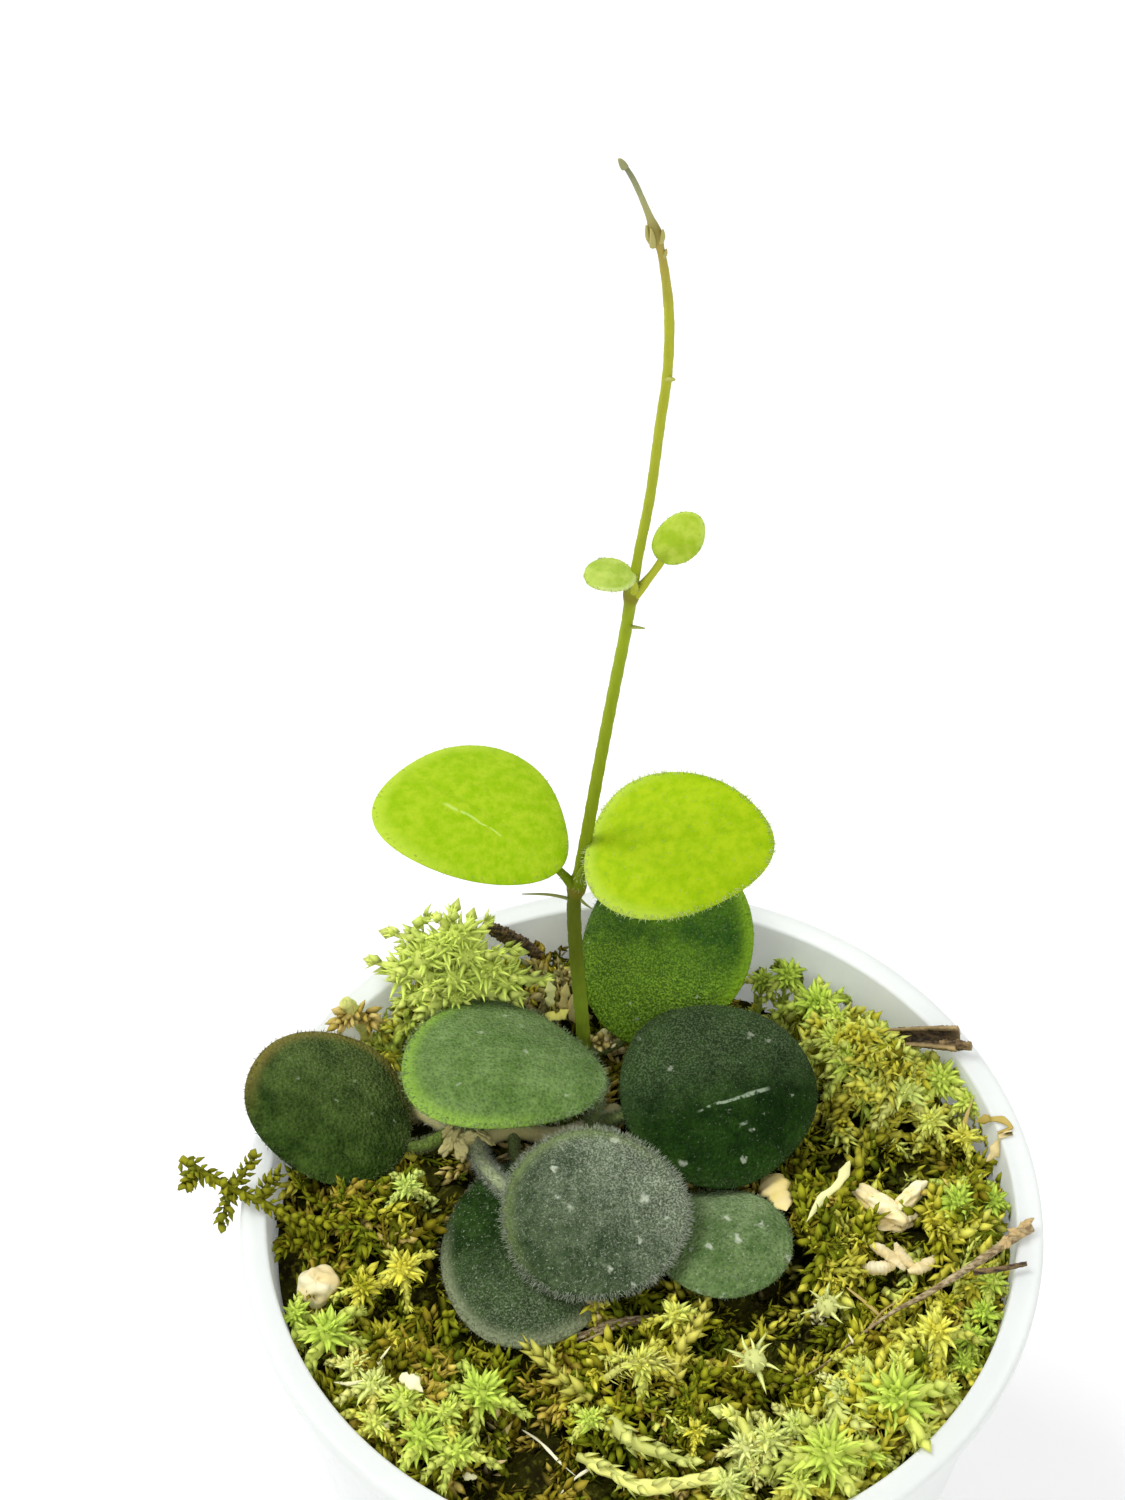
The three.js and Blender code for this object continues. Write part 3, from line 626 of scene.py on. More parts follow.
def make_pot(material):
    """The cup's outline: rounded foot, sloping wall, rolled rim, and back down inside."""
    base = -RIM_HEIGHT
    skirt = -RIM_DEPTH
    outline = [
        np.array([[0, base], [BASE_RADIUS - 6, base]]),
        arc((BASE_RADIUS - 1.6, base + 1.6), 1.6, -90, 0),
        np.linspace((BASE_RADIUS, base + 2), (BODY_TOP_RADIUS, skirt - 0.4), 12),
        arc((RIM_RADIUS - 0.5, skirt + 0.5), 0.5, -90, 0),
        arc((RIM_RADIUS - 0.7, -0.7), 0.7, 0, 90),
        arc((RIM_INNER_RADIUS + 0.45, -0.45), 0.45, 90, 180),
        np.linspace((RIM_INNER_RADIUS, -1.5), (BASE_RADIUS - WALL, base + 2.6), 10),
        arc((BASE_RADIUS - WALL - 1, base + 2.5), 1.0, 0, -90),
        np.array([[BASE_RADIUS - 8, base + 1.5], [0, base + 1.5]]),
    ]
    shell = Shell()
    turned(shell, np.concatenate(outline), POT_SIDES)
    pot = shell.piece("nursery_pot", material, ["pot"])
    drills = Shell()
    for turn in range(DRAIN_HOLES):
        angle = math.radians(360 / DRAIN_HOLES * turn)
        centre = np.array([DRAIN_CIRCLE * math.cos(angle), DRAIN_CIRCLE * math.sin(angle), base])
        path = centre + np.array([[0, 0, -3.0], [0, 0, 0.5], [0, 0, 4.0]])
        points, triangles, _ = tubes(path[None], DRAIN_RADIUS, 32)
        drills.add(points, triangles, (0, 0, 0))
    cut_away(pot, drills)


def cut_away(made, drills):
    """Cuts the drills' solids out of a piece and keeps the result as its mesh."""
    drill = bpy.data.objects.new("drill", drills.mesh("drill"))
    bpy.context.scene.collection.objects.link(drill)
    cut = made.modifiers.new("holes", "BOOLEAN")
    cut.operation = "DIFFERENCE"
    cut.object = drill
    view = bpy.context.evaluated_depsgraph_get()
    finished = bpy.data.meshes.new_from_object(made.evaluated_get(view))
    made.modifiers.clear()
    made.data = finished
    bpy.data.objects.remove(drill)


def make_medium(material):
    """A lumpy plug that nearly fills the cup below the moss."""
    base = -RIM_HEIGHT + 1.9
    top = MEDIUM_TOP
    low = BASE_RADIUS - WALL - 0.4
    side = np.linspace((low, base + 1.5), (inner_radius(top) - 0.35, top - 0.8), 60)
    profile = np.concatenate([
        np.linspace((0, base), (low - 1.2, base), 8), side,
        np.linspace((inner_radius(top) - 1.0, top), (0, top), 8),
    ])

    def lumps(radius, height, angle):
        wall = (radius > low - 2) & (height > base + 1) & (height < top)
        dent = 0.9 + np.sin(7 * angle + height / 2.3) * np.cos(11 * angle - height / 3.1)
        dent = dent + 0.7 * np.sin(23 * angle + height / 1.1)
        return radius - wall * np.maximum(dent, 0) * 0.28, height

    shell = Shell()
    turned(shell, profile, MEDIUM_SIDES, lumps)
    shell.piece("soil_and_old_moss", material, ["growing_medium"])


# Ground that the moss grows on: a bed with swells, and cushions over it

BED_BOTTOM = MEDIUM_TOP + 0.3
BED_LEVEL = -7.2
BED_SIDES = 200
# Swells and hollows of the bed: x, y, reach and rise
BED_SWELLS = [(31, -2, 9, 2.6), (-31, -2, 11, 1.6), (0, -29, 12, 1.3), (14, 38, 15, -6.6)]
# Deep hollows between the moss, where shoots sink low and the moss finish paints them in shade: x, y, reach
# and depth
HOLLOWS = [
    (-27.5, -15.5, 2.4, 1.3), (-24, -8, 2.2, 1.2), (-21, -20, 2.2, 1.2), (-9, -31, 4, 1.1),
    (-13, -31.5, 2.6, 1.3), (14.5, -17, 2.4, 0.5), (17, -10, 2.4, 1.4), (30, 6, 3, 1.4),
    (-17.5, 5, 3, 2.0), (-31.5, -21, 2.4, 1.0), (-13, -14, 3, 1.6), (-13.5, -4, 5, 2.4), (9, -5, 5, 1.6),
]
# Centre x and y, half length, half width, turn in degrees and height
CUSHIONS = {
    "moss_tuft_back_left": (-23.4, 29.6, 9.5, 3.5, 38, 7.0),
    "moss_behind_stem": (-7.5, 32, 6, 4.2, 0, 5),
    "moss_back_left": (-32.4, 17.9, 4.6, 3.2, 120, 3.6),
    "moss_left": (-30.2, -2.6, 7.4, 6.2, 0, 3.8),
    "moss_front_left": (-22.5, -25, 11, 6.2, -42, 5.6),
    "moss_front": (2, -24.5, 10, 7, 0, 4.4),
    "moss_front_right": (25.5, -24.5, 10.5, 5.8, 46, 6.2),
    "moss_right": (35.8, -1, 9, 3.7, 88, 3.4),
    "moss_centre_right": (20, -2.5, 6, 8.5, 0, 3.6),
    "moss_back_right": (26.5, 22.6, 10.5, 5.4, 130, 8.0),
}


def bell(x, y, centre_x, centre_y, reach):
    """A round bell curve: 1 at its centre and about 0.6 at its reach."""
    return np.exp(-((x - centre_x) ** 2 + (y - centre_y) ** 2) / (2 * reach**2))


def bed_height(x, y):
    """The bed's level plus a bell for each swell or hollow."""
    height = np.full(np.shape(x), BED_LEVEL)
    for centre_x, centre_y, reach, rise in BED_SWELLS:
        height = height + rise * bell(x, y, centre_x, centre_y, reach)
    return height


def cushion_place(cushion, x, y):
    """Where x and y lie on a cushion: along and across it, as shares of its half sizes."""
    centre_x, centre_y, half_length, half_width, turn, _ = cushion
    cosine, sine = math.cos(math.radians(turn)), math.sin(math.radians(turn))
    along = ((x - centre_x) * cosine + (y - centre_y) * sine) / half_length
    across = ((y - centre_y) * cosine - (x - centre_x) * sine) / half_width
    return along, across


def swell(x, y):
    """Lumps and hollows of the moss: two crossed pairs of sines, less a bell for each hollow."""
    small = np.sin(1.25 * x + 0.5 * y + 0.4) * np.sin(1.1 * y - 0.45 * x)
    large = np.sin(0.6 * x - 0.45 * y + 2.0) * np.sin(0.66 * y + 0.36 * x + 1.0)
    level = 0.9 * small + 0.9 * large
    for centre_x, centre_y, reach, depth in HOLLOWS:
        level = level - depth * bell(x, y, centre_x, centre_y, reach)
    return level


def ground(x, y):
    """The bed, or the highest cushion dome over it."""
    highest = np.zeros(np.shape(x))
    for cushion in CUSHIONS.values():
        along, across = cushion_place(cushion, x, y)
        dome = cushion[5] * np.sqrt(np.clip(1 - along**2 - across**2, 0, 1))
        highest = np.maximum(highest, dome)
    return bed_height(x, y) + highest


def keep_inside(points, spare=0.5):
    """Pulls points in towards the axis where they would pass the pot's inner wall."""
    limit = np.where(points[..., 2] > 0.3, 1e3, inner_radius(points[..., 2]) - spare)
    reach = np.maximum(np.hypot(points[..., 0], points[..., 1]), 1e-6)
    pull = np.minimum(1, limit / reach)
    return np.concatenate([points[..., :2] * pull[..., None], points[..., 2:]], axis=-1)


def add_bed(shell):
    """A plug with a rough top: the bed height plus three sizes of lumps."""
    shares = np.concatenate([np.linspace(1, 0.94, 4), np.linspace(0.92, 0.02, 60)])
    profile = np.concatenate([
        np.linspace((0, BED_BOTTOM), (inner_radius(BED_BOTTOM) - 0.4, BED_BOTTOM), 6),
        np.stack([shares * RIM_INNER_RADIUS, np.full(len(shares), BED_LEVEL)], -1),
        [[0, BED_LEVEL]],
    ])

    def rough(radius, height, angle):
        x, y = radius * np.cos(angle), radius * np.sin(angle)
        level = bed_height(x, y)
        lumps = np.sin(x / 1.9) * np.cos(y / 2.3) + 0.6 * np.sin(x / 0.8 + y / 1.1)
        lumps = lumps + 0.4 * np.sin(y / 0.5 - x / 0.9)
        top = height > BED_BOTTOM + 0.1
        shrink = np.where(top, (inner_radius(level) - 0.4) / RIM_INNER_RADIUS, 1)
        return radius * shrink, np.where(top, level + 0.5 * lumps - 0.6, height)

    turned(shell, profile, BED_SIDES, rough)


# Moss

# Ways a shoot can be clad: leaf length and width, angle off the stem, leaves, core radius,
# and how much the leaves shrink towards the tip
PLUMP = dict(leaf=2.4, broad=1.3, spread=42, count=19, core=0.58, taper=0.25, shape=MOSS_SCALE)
SLENDER = dict(leaf=1.9, broad=0.95, spread=38, count=18, core=0.36, taper=0.4, shape=MOSS_LEAF)
SPIKY = dict(leaf=2.4, broad=1.3, spread=44, count=22, core=0.55, taper=0.2, shape=MOSS_LEAF)
# A moss leaf this far under the ground is in the deepest painted shade, and one this much higher is fully lit
DARK_BELOW = 1.2
LIT_ABOVE = 3.0


def add_moss(shell, points, triangles, along, chance, age, bleached=0.0, brown=0.0, lowest=0.0, held=True):
    """Adds moss with its height over the ground noted, from the lowest note up to 1, which sets its painted
    shade.

    Unless it isn't held, it is pulled inside the pot.
    """
    points = keep_inside(points, 0.2) if held else points
    lift = points[..., 2] - ground(points[..., 0], points[..., 1])
    lift = np.clip((lift + DARK_BELOW) / LIT_ABOVE, lowest, 1)
    shell.add(points, triangles, stack(along, chance, age + 0 * lift), stack(bleached, brown, lift))


def along_paths(paths, shares):
    """Points and frames of each path (n, steps, 3) at shares of its length (count)."""
    steps = paths.shape[1]
    place = np.clip(shares, 0, 1) * (steps - 1)
    low = np.minimum(place.astype(int), steps - 2)
    part = (place - low)[None, :, None]

    def blend(values):
        return values[:, low] * (1 - part) + values[:, low + 1] * part

    return blend(paths), [unit(blend(values)) for values in frames(paths)]


def shoots(shell, paths, ages, clad, random, bleached=0.0, brown=0.0, size=1.0, **held):
    """Leafy moss shoots: a thin stem with pointed leaves round it in a golden spiral.

    Each leaf stands out by the spread angle, less towards the tip, where leaves also shorten.
    """
    total, steps, _ = paths.shape
    count = clad["count"]
    core = clad["core"] * size
    ages = np.broadcast_to(ages, (total,))
    girth = core * (1 - 0.75 * np.linspace(0, 1, steps) ** 2)
    points, triangles, _ = tubes(paths, girth, 4)
    chance = random.uniform(size=(total, 1))
    add_moss(shell, points, triangles, 0.45, chance, ages[:, None], bleached, brown, **held)
    shares = (np.arange(count) + 0.5) / count
    centres, (forward, side, top) = along_paths(paths, shares)
    angle = np.arange(count)[None] * GOLDEN_TURN + random.uniform(0, 6, (total, 1))
    angle = angle + random.normal(0, 0.25, (total, count))
    radial = np.cos(angle)[..., None] * side + np.sin(angle)[..., None] * top
    lean = np.radians(clad["spread"]) * (1 - 0.6 * shares**2) * random.uniform(0.75, 1.25, (total, count))
    pointing = np.cos(lean)[..., None] * forward + np.sin(lean)[..., None] * radial
    across = unit(np.cross(forward, radial))
    sizes = size * (1 - clad["taper"] * shares) * random.uniform(0.8, 1.2, (total, count))
    origins = centres + radial * core * 0.5
    points, triangles, tip = scatter(
        clad["shape"], origins.reshape(-1, 3), pointing.reshape(-1, 3), -across.reshape(-1, 3),
        (clad["leaf"] * sizes).ravel(), (clad["broad"] * sizes).ravel())
    picked = np.clip(0.6 * random.uniform(size=(total, count)) + 0.4 * chance, 0, 1)
    ages = np.repeat(ages, count)[:, None]
    add_moss(shell, points, triangles, tip, picked.reshape(-1, 1), ages, bleached, brown, **held)


SPIKE_FLATNESS = 0.4


def spikes(shell, paths, widths, ages, random, facing, bleached=0.0, **held):
    """Pointed leaves with a keel, widest near the root and straight to the point."""
    share = np.linspace(0, 1, paths.shape[1])
    profile = np.minimum(0.6 + 3 * share, 1.15 * (1 - share) ** 0.9 + 0.02)
    points, triangles, along = tubes(paths, widths[:, None] * profile, 4, SPIKE_FLATNESS, facing)
    chance = random.uniform(size=(len(paths), 1))
    ages = np.broadcast_to(ages, len(paths))[:, None]
    add_moss(shell, points, triangles, 0.3 + 0.7 * along, chance, ages, bleached, **held)


def rosette(shell, centre, radius, age, random, tilt=(0.0, 0.0), bleached=0.0, crowd=1.0, thin=1.0):
    """A moss head: a small mound under pointed leaves in a golden spiral, flat and long
    outside, short and upright in the middle. They droop with the square of their length."""
    total = int(round((10 + 6 * radius) * crowd))
    share = np.arange(total) / total
    heading = np.arange(total) * GOLDEN_TURN + random.uniform(0, 6) + random.normal(0, 0.16, total)
    rise = np.radians(-6 + 84 * share + random.normal(0, 9, total))[:, None]
    length = 0.72 * radius * (1 - 0.4 * share) * random.uniform(0.75, 1.2, total)
    out = np.stack([np.cos(heading), np.sin(heading), 0 * heading], -1)
    up = np.array([tilt[0], tilt[1], 1.0]) / math.hypot(1, *tilt)
    direction = unit(np.cos(rise) * out + np.sin(rise) * up)
    facing = unit(np.cos(rise) * up - np.sin(rise) * out)[:, None]
    step = np.linspace(0, 1, 5)[None, :, None]
    start = np.asarray(centre) + 0.3 * radius * direction
    polar = np.linspace(0, math.pi, 7)
    mound = np.asarray(centre) - up * (0.34 * radius * np.cos(polar))[:, None]
    points, triangles, _ = tubes(mound[None], 0.4 * radius * np.sin(polar)[None] + 0.01, 8)
    add_moss(shell, points, triangles, 0.4, 0.5, age, bleached)
    paths = start[:, None] + direction[:, None] * length[:, None, None] * step
    bend = unit(np.cross(direction, up)) * random.normal(0, 0.16, (total, 1))
    paths = paths + (bend - 0.14 * up)[:, None] * length[:, None, None] * step**2
    spikes(shell, paths, thin * (0.16 * length + 0.13), age - 0.06 * (1 - share), random, facing, bleached)


def full_head(shell, centre, radius, age, random, lean, pale):
    """Two rosettes, one over the other, with four short arms that come out between them."""
    rosette(shell, centre, radius, age, random, lean, pale)
    rosette(shell, centre - (0, 0, 0.35 * radius), radius * 0.85, age + 0.05, random, lean, pale, 0.6)
    heading = random.uniform(0, 6) + np.arange(4) * 1.57 + random.normal(0, 0.3, 4)
    out = radius * np.stack([np.cos(heading), np.sin(heading), 0 * heading], -1)
    bend = centre + 0.8 * out - (0, 0, 0.1 * radius)
    tip = centre + 1.45 * out - (0, 0, 0.6 * radius)
    root = np.broadcast_to(centre - (0, 0, 0.4 * radius), bend.shape)
    limbs(shell, np.stack([root, bend, tip], 1), min(age + 0.12, 0.36), random, pale, 0.85, 0.24 * radius)


def star_heads(shell, stars, random):
    """Each head stands on a leafy stalk that comes up from the ground below it."""
    for x, y, z, radius, age, *bleached in stars:
        pale = bleached[0] if bleached else 0.0
        lean = (-0.25 * x / 40, -0.25 * y / 40 - 0.15)
        centre = np.array([x, y, z])
        if pale > 0.4:
            rosette(shell, centre, 1.2 * radius, age, random, lean, 0.5 * pale, 0.45, 0.6)
        else:
            full_head(shell, centre, radius, age, random, lean, pale)
        foot_x, foot_y = 0.94 * x, 0.94 * y
        foot = np.array([foot_x, foot_y, float(ground(foot_x, foot_y)) - 1.5])
        stalk = smooth_path([foot, foot + (0.3, 0.2, 0.8), [x, y, z]], 8)[None]
        shoots(shell, stalk, min(age + 0.1, 1), SPIKY, random, bleached=pale, size=0.75)


def creeping_paths(starts, random, length, rise, steps=8):
    """Paths over the moss: arcs in plan that follow the ground and lift towards their tips."""
    total = len(starts)
    share = np.linspace(0, 1, steps)[None]
    heading = random.uniform(0, 2 * math.pi, total)[:, None]
    heading = heading + random.uniform(-1.6, 1.6, total)[:, None] * share
    stride = random.uniform(*length, total)[:, None] / (steps - 1)

    def walked(first, direction):
        """The first value, and then all those that the strides lead to."""
        steps_taken = np.cumsum(direction * stride, axis=1)
        return first + np.concatenate([np.zeros_like(first), steps_taken], axis=1)

    x = walked(starts[:, :1], np.cos(heading[:, 1:]))
    y = walked(starts[:, 1:], np.sin(heading[:, 1:]))
    low = random.uniform(-1.0, 0.4, total)[:, None]
    lift = low + random.uniform(*rise, total)[:, None] * share**1.4
    return keep_inside(np.stack([x, y, ground(x, y) + 1.1 * swell(x, y) + lift], -1))


def on_lumps(places, random):
    """Sorts places by the swells, with some chance: the raised ones, and the ones in hollows."""
    raised = swell(*places.T) > random.uniform(-1.5, 0.1, len(places))
    return places[raised], places[~raised]


def on_cushion(cushion, total, random):
    """Random places on a cushion, even by area."""
    centre_x, centre_y, half_length, half_width, turn, _ = cushion
    share = np.sqrt(random.uniform(0, 1.15, total))
    angle = random.uniform(0, 2 * math.pi, total)
    along, across = half_length * share * np.cos(angle), half_width * share * np.sin(angle)
    cosine, sine = math.cos(math.radians(turn)), math.sin(math.radians(turn))
    x = centre_x + along * cosine - across * sine
    y = centre_y + along * sine + across * cosine
    return np.stack([x, y], -1)


# Age of the moss round some places: x, y, reach and age
AGE_PLACES = [
    (-31, -2, 9, 0.63), (-36, -14, 6, 0.58), (-23, -25, 8, 0.62), (-10, -31, 7, 0.64),
    (0, -24, 7, 0.57), (-3, -34, 5, 0.64), (9, -19, 6, 0.6), (24, -25, 8, 0.46), (37, -6, 7, 0.46),
    (20, -4, 8, 0.53), (14, 8, 6, 0.84), (28, 22, 9, 0.34), (38, 12, 4, 0.84), (-25, 29, 7, 0.26),
    (-7, 28, 8, 0.8), (-14, 8, 6, 0.8), (-22, -14, 6, 0.58),
]
AGE_SPREAD = 0.105


def moss_age(places, random):
    """Weighted mean of the nearby ages, with some chance."""
    weight = np.zeros(len(places))
    total = np.zeros(len(places))
    for x, y, reach, age in AGE_PLACES:
        near = bell(places[:, 0], places[:, 1], x, y, reach) + 1e-6
        weight += near
        total += near * age
    return np.clip(total / weight + random.normal(0, AGE_SPREAD, len(places)), 0.02, 0.97)


# Star heads of each moss piece: x, y, z, radius, age, and how bleached they are
STARS = {
    "moss_back_right": [
        (17.1, 36, -5, 2.7, 0.05), (14.2, 37, -7.5, 2.2, 0.1), (20.6, 31.2, -4.5, 3.6, 0.04),
        (23, 28.6, -3.6, 2.4, 0.14), (24.4, 21.5, -2.8, 3.2, 0.12), (30.3, 16.6, -1.6, 3.2, 0.22, 0.15),
        (34.8, 19.2, -2.2, 3.4, 0.16), (38, 16.6, -3, 2.4, 0.2), (31.6, 21.8, -3, 2.4, 0.14),
        (26, 26.5, -3.2, 2.6, 0.3), (28.4, 18.6, -2, 2.6, 0.3), (33.4, 13.4, -2.4, 2.4, 0.34),
        (22.6, 25, -3, 2.8, 0.2), (37.4, 12, -3.4, 2.2, 0.4),
    ],
    "moss_right": [
        (35.6, 0.9, -0.4, 2.8, 0.04), (39.8, 2.4, -2, 2.2, 0.0), (37.6, -2.5, -2, 1.8, 0.1),
        (39, -8, -2.2, 2.3, 0.14), (38, -11.4, -3, 2.0, 0.05), (36.4, -14.6, -3, 2.3, 0.05),
        (34, -10.6, -2.6, 1.9, 0.5), (35.6, -17.6, -3.2, 2.0, 0.08),
    ],
    "moss_front_right": [
        (27.6, -24.8, 1.4, 4.4, 0.12), (20.4, -31.1, 0.8, 4.2, 0.14), (32.4, -15.6, -0.4, 3.0, 0.4),
        (14.4, -28.6, -1.4, 2.6, 0.26, 0.2), (17.2, -27, -1.5, 2.4, 0.2, 0.2), (30.4, -27, -1.5, 2.6, 0.34),
        (24.4, -29.6, -1, 2.6, 0.16), (22.4, -22.6, -1.4, 2.4, 0.2, 0.3), (33.4, -21.6, -2.6, 2.2, 0.24),
        (17.6, -33.4, -1.4, 2.8, 0.26), (28.4, -20, -0.6, 2.6, 0.3), (24, -20.4, -0.8, 2.2, 0.24),
    ],
    "moss_centre_right": [(20.8, -12.1, -1.8, 2.6, 0.3, 0.6), (12.8, -19.4, -1.6, 2.9, 0.28, 0.6)],
    "moss_front": [
        (4.2, -13.9, -2.4, 2.3, 0.34), (0.8, -21.8, 0.8, 2.8, 0.36), (-4.4, -27.8, -0.4, 1.9, 0.14),
        (6.6, -28.6, -0.4, 1.5, 0.46), (12.0, -29.4, -2, 2.5, 0.3, 0.3), (10.4, -33.4, -3.4, 2.2, 0.2, 0.1),
    ],
    "moss_front_left": [
        (-33.4, -18.2, -1.6, 3.3, 0.08), (-37.4, -15.4, -3, 2.2, 0.1), (-16, -26, 0.8, 3.2, 0.08),
        (-21.9, -31, 0.4, 3.1, 0.1), (-18.2, -32, -0.4, 2.6, 0.14), (-27.4, -25.6, 0.6, 2.5, 0.24, 0.2),
        (-24, -27.4, 1, 2.6, 0.2), (-30, -22.4, -1.6, 2.2, 0.3, 0.2), (-19.6, -28.6, 1, 2.6, 0.22),
        (-27, -29, -0.8, 2.4, 0.28),
    ],
    "moss_left": [
        (-26.3, -0.4, 0.2, 1.9, 0.1, 0.1), (-26, -9.6, -2.2, 2.8, 0.44), (-30.2, -12.2, -2.2, 2.3, 0.5),
    ],
}
# Arms of the tall tuft, each from its root to its tip
TUFT_ARMS = [
    [(-23.5, 27, -0.5), (-27.9, 28, 3.0), (-33.2, 28.4, 4)],
    [(-24.3, 28.2, 0.4), (-26.8, 30.6, 4.8), (-31.1, 31.3, 6)],
    [(-24, 28.6, 1), (-26.3, 30.3, 5.6), (-28.2, 31.1, 6.9), (-26.6, 32.3, 8)],
    [(-23.5, 28, -0.5), (-23.9, 29.9, 4.9), (-23.6, 32.6, 9)],
    [(-23.9, 28.6, 0.5), (-24.4, 31.2, 7.2), (-25.3, 31.5, 9.2)],
    [(-22.5, 28.6, 0.2), (-21.5, 30.6, 5.2), (-19.2, 32.1, 7.9)],
    [(-22.3, 28, 0), (-19.6, 29.9, 4.0), (-15.9, 30.4, 5)],
    [(-22.8, 27.2, -0.5), (-18.3, 27.9, 2.0), (-12.2, 28.2, 2.2)],
    [(-24, 26.8, -0.6), (-27.2, 26, 1), (-29.9, 24.9, 0.6)],
    [(-23.6, 26.8, -0.8), (-25.4, 25.4, 0.2), (-27, 23.7, -0.6)],
    [(-22, 27.4, -0.5), (-19.2, 28.6, 3.0), (-16.2, 27.6, 2.6)],
    [(-24, 28.2, 0), (-25.6, 29.4, 4.2), (-29.6, 30, 5.2)],
    [(-23, 28.4, 0), (-22.4, 30.4, 5.4), (-21.4, 31.8, 8.2)],
    [(-22.6, 27.6, 0), (-20.4, 28.8, 4.4), (-17.6, 29.4, 5.6)],
    [(-24.2, 27.4, 0), (-26.6, 27.4, 3.2), (-30.6, 27, 3.4)],
    [(-22.4, 27, -0.5), (-20, 26.6, 1.6), (-15.6, 26.4, 0.8)],
    [(-23.8, 26.6, -0.6), (-24.8, 26.4, 2.2), (-25.8, 25.4, 2.6)],
]
# Rosettes that crown the tuft
TUFT_CROWN = [
    (-24.5, 29.6, 6), (-21.8, 29, 5.2), (-27, 28.8, 4.6), (-19.2, 28.4, 3.2), (-23.2, 27.4, 3),
    (-29.4, 28, 2.6), (-26, 26.8, 2), (-20.4, 26.9, 1.6), (-17, 28, 2), (-23, 26.4, 0.4),
    (-28, 26.2, 0.4), (-22.8, 30.6, 7),
]
# Pale branches at the front right
PALE_LIMBS = [
    [(10.6, -30.9, -4.5), (12.1, -29, -2.6), (11.5, -27.2, -0.9), (9.8, -26.8, 0.5)],
    [(13.7, -30.9, -4.2), (14, -29, -2.4), (14.4, -27.6, -0.8)],
    [(14.7, -31.9, -4.5), (16.8, -30.6, -2.4), (18.3, -31, -0.6)],
    [(21.1, -23.6, -0.8), (21.5, -26.4, 0.8), (23.5, -28.1, 1.1)],
    [(34.4, -22, -4), (32.7, -24.2, -2), (30, -25.6, 0)],
    [(21.2, -26.4, 0.4), (20.4, -28.2, 0.2), (19.7, -30, -0.6)],
    [(-2.3, -27.4, -1), (-0.2, -29.7, -0.8), (3, -31, -1), (6.4, -31.4, -1.8)],
]
# Two golden sprigs at the front, and a pale stalk with a mane between them
OCHRE_SPRIGS = [
    [(4.0, -24.4, -1.2), (4.8, -19.9, 0.3), (6.7, -14.8, -1.7), (7.8, -11, -2.4)],
    [(-4.4, -25.1, -0.9), (-7.2, -23.3, -1.2), (-9.7, -20.3, -2.2), (-11.6, -18.7, -2.1)],
]
PALE_MANE = [(-3, -22.9, -0.5), (-1, -22.1, 1), (1.4, -21.8, 1.6), (3.5, -21.9, 1)]


def limbs(shell, routes, age, random, bleached, core=0.95, size=1.0, spread=22):
    """Thick branches of fresh moss: leaves that hug them, and a crown of spikes at the tip."""
    paths = np.stack([smooth_path(route, 10) for route in routes])
    hugging = dict(SPIKY, leaf=2.2, broad=1.8, count=13, core=core, spread=spread)
    ages = age + random.uniform(-0.06, 0.06, len(paths))
    shoots(shell, paths, ages, hugging, random, bleached, size=size, lowest=0.7)
    heading = np.arange(7) * GOLDEN_TURN
    round_it = unit(np.stack([np.cos(heading), np.sin(heading), np.sin(heading + 1.2)], -1))
    for path in paths:
        forward = unit(path[-1] - path[-3])
        direction = unit(forward + 0.75 * round_it)
        step = np.linspace(0, 1, 5)[None, :, None]
        tips = size * (direction[:, None] * random.uniform(1.1, 1.9, (7, 1, 1)) * step - 0.6 * forward)
        widths = np.full(7, 0.4 * size)
        spikes(shell, path[-1] + tips, widths, age, random, round_it[:, None], bleached, lowest=0.8)


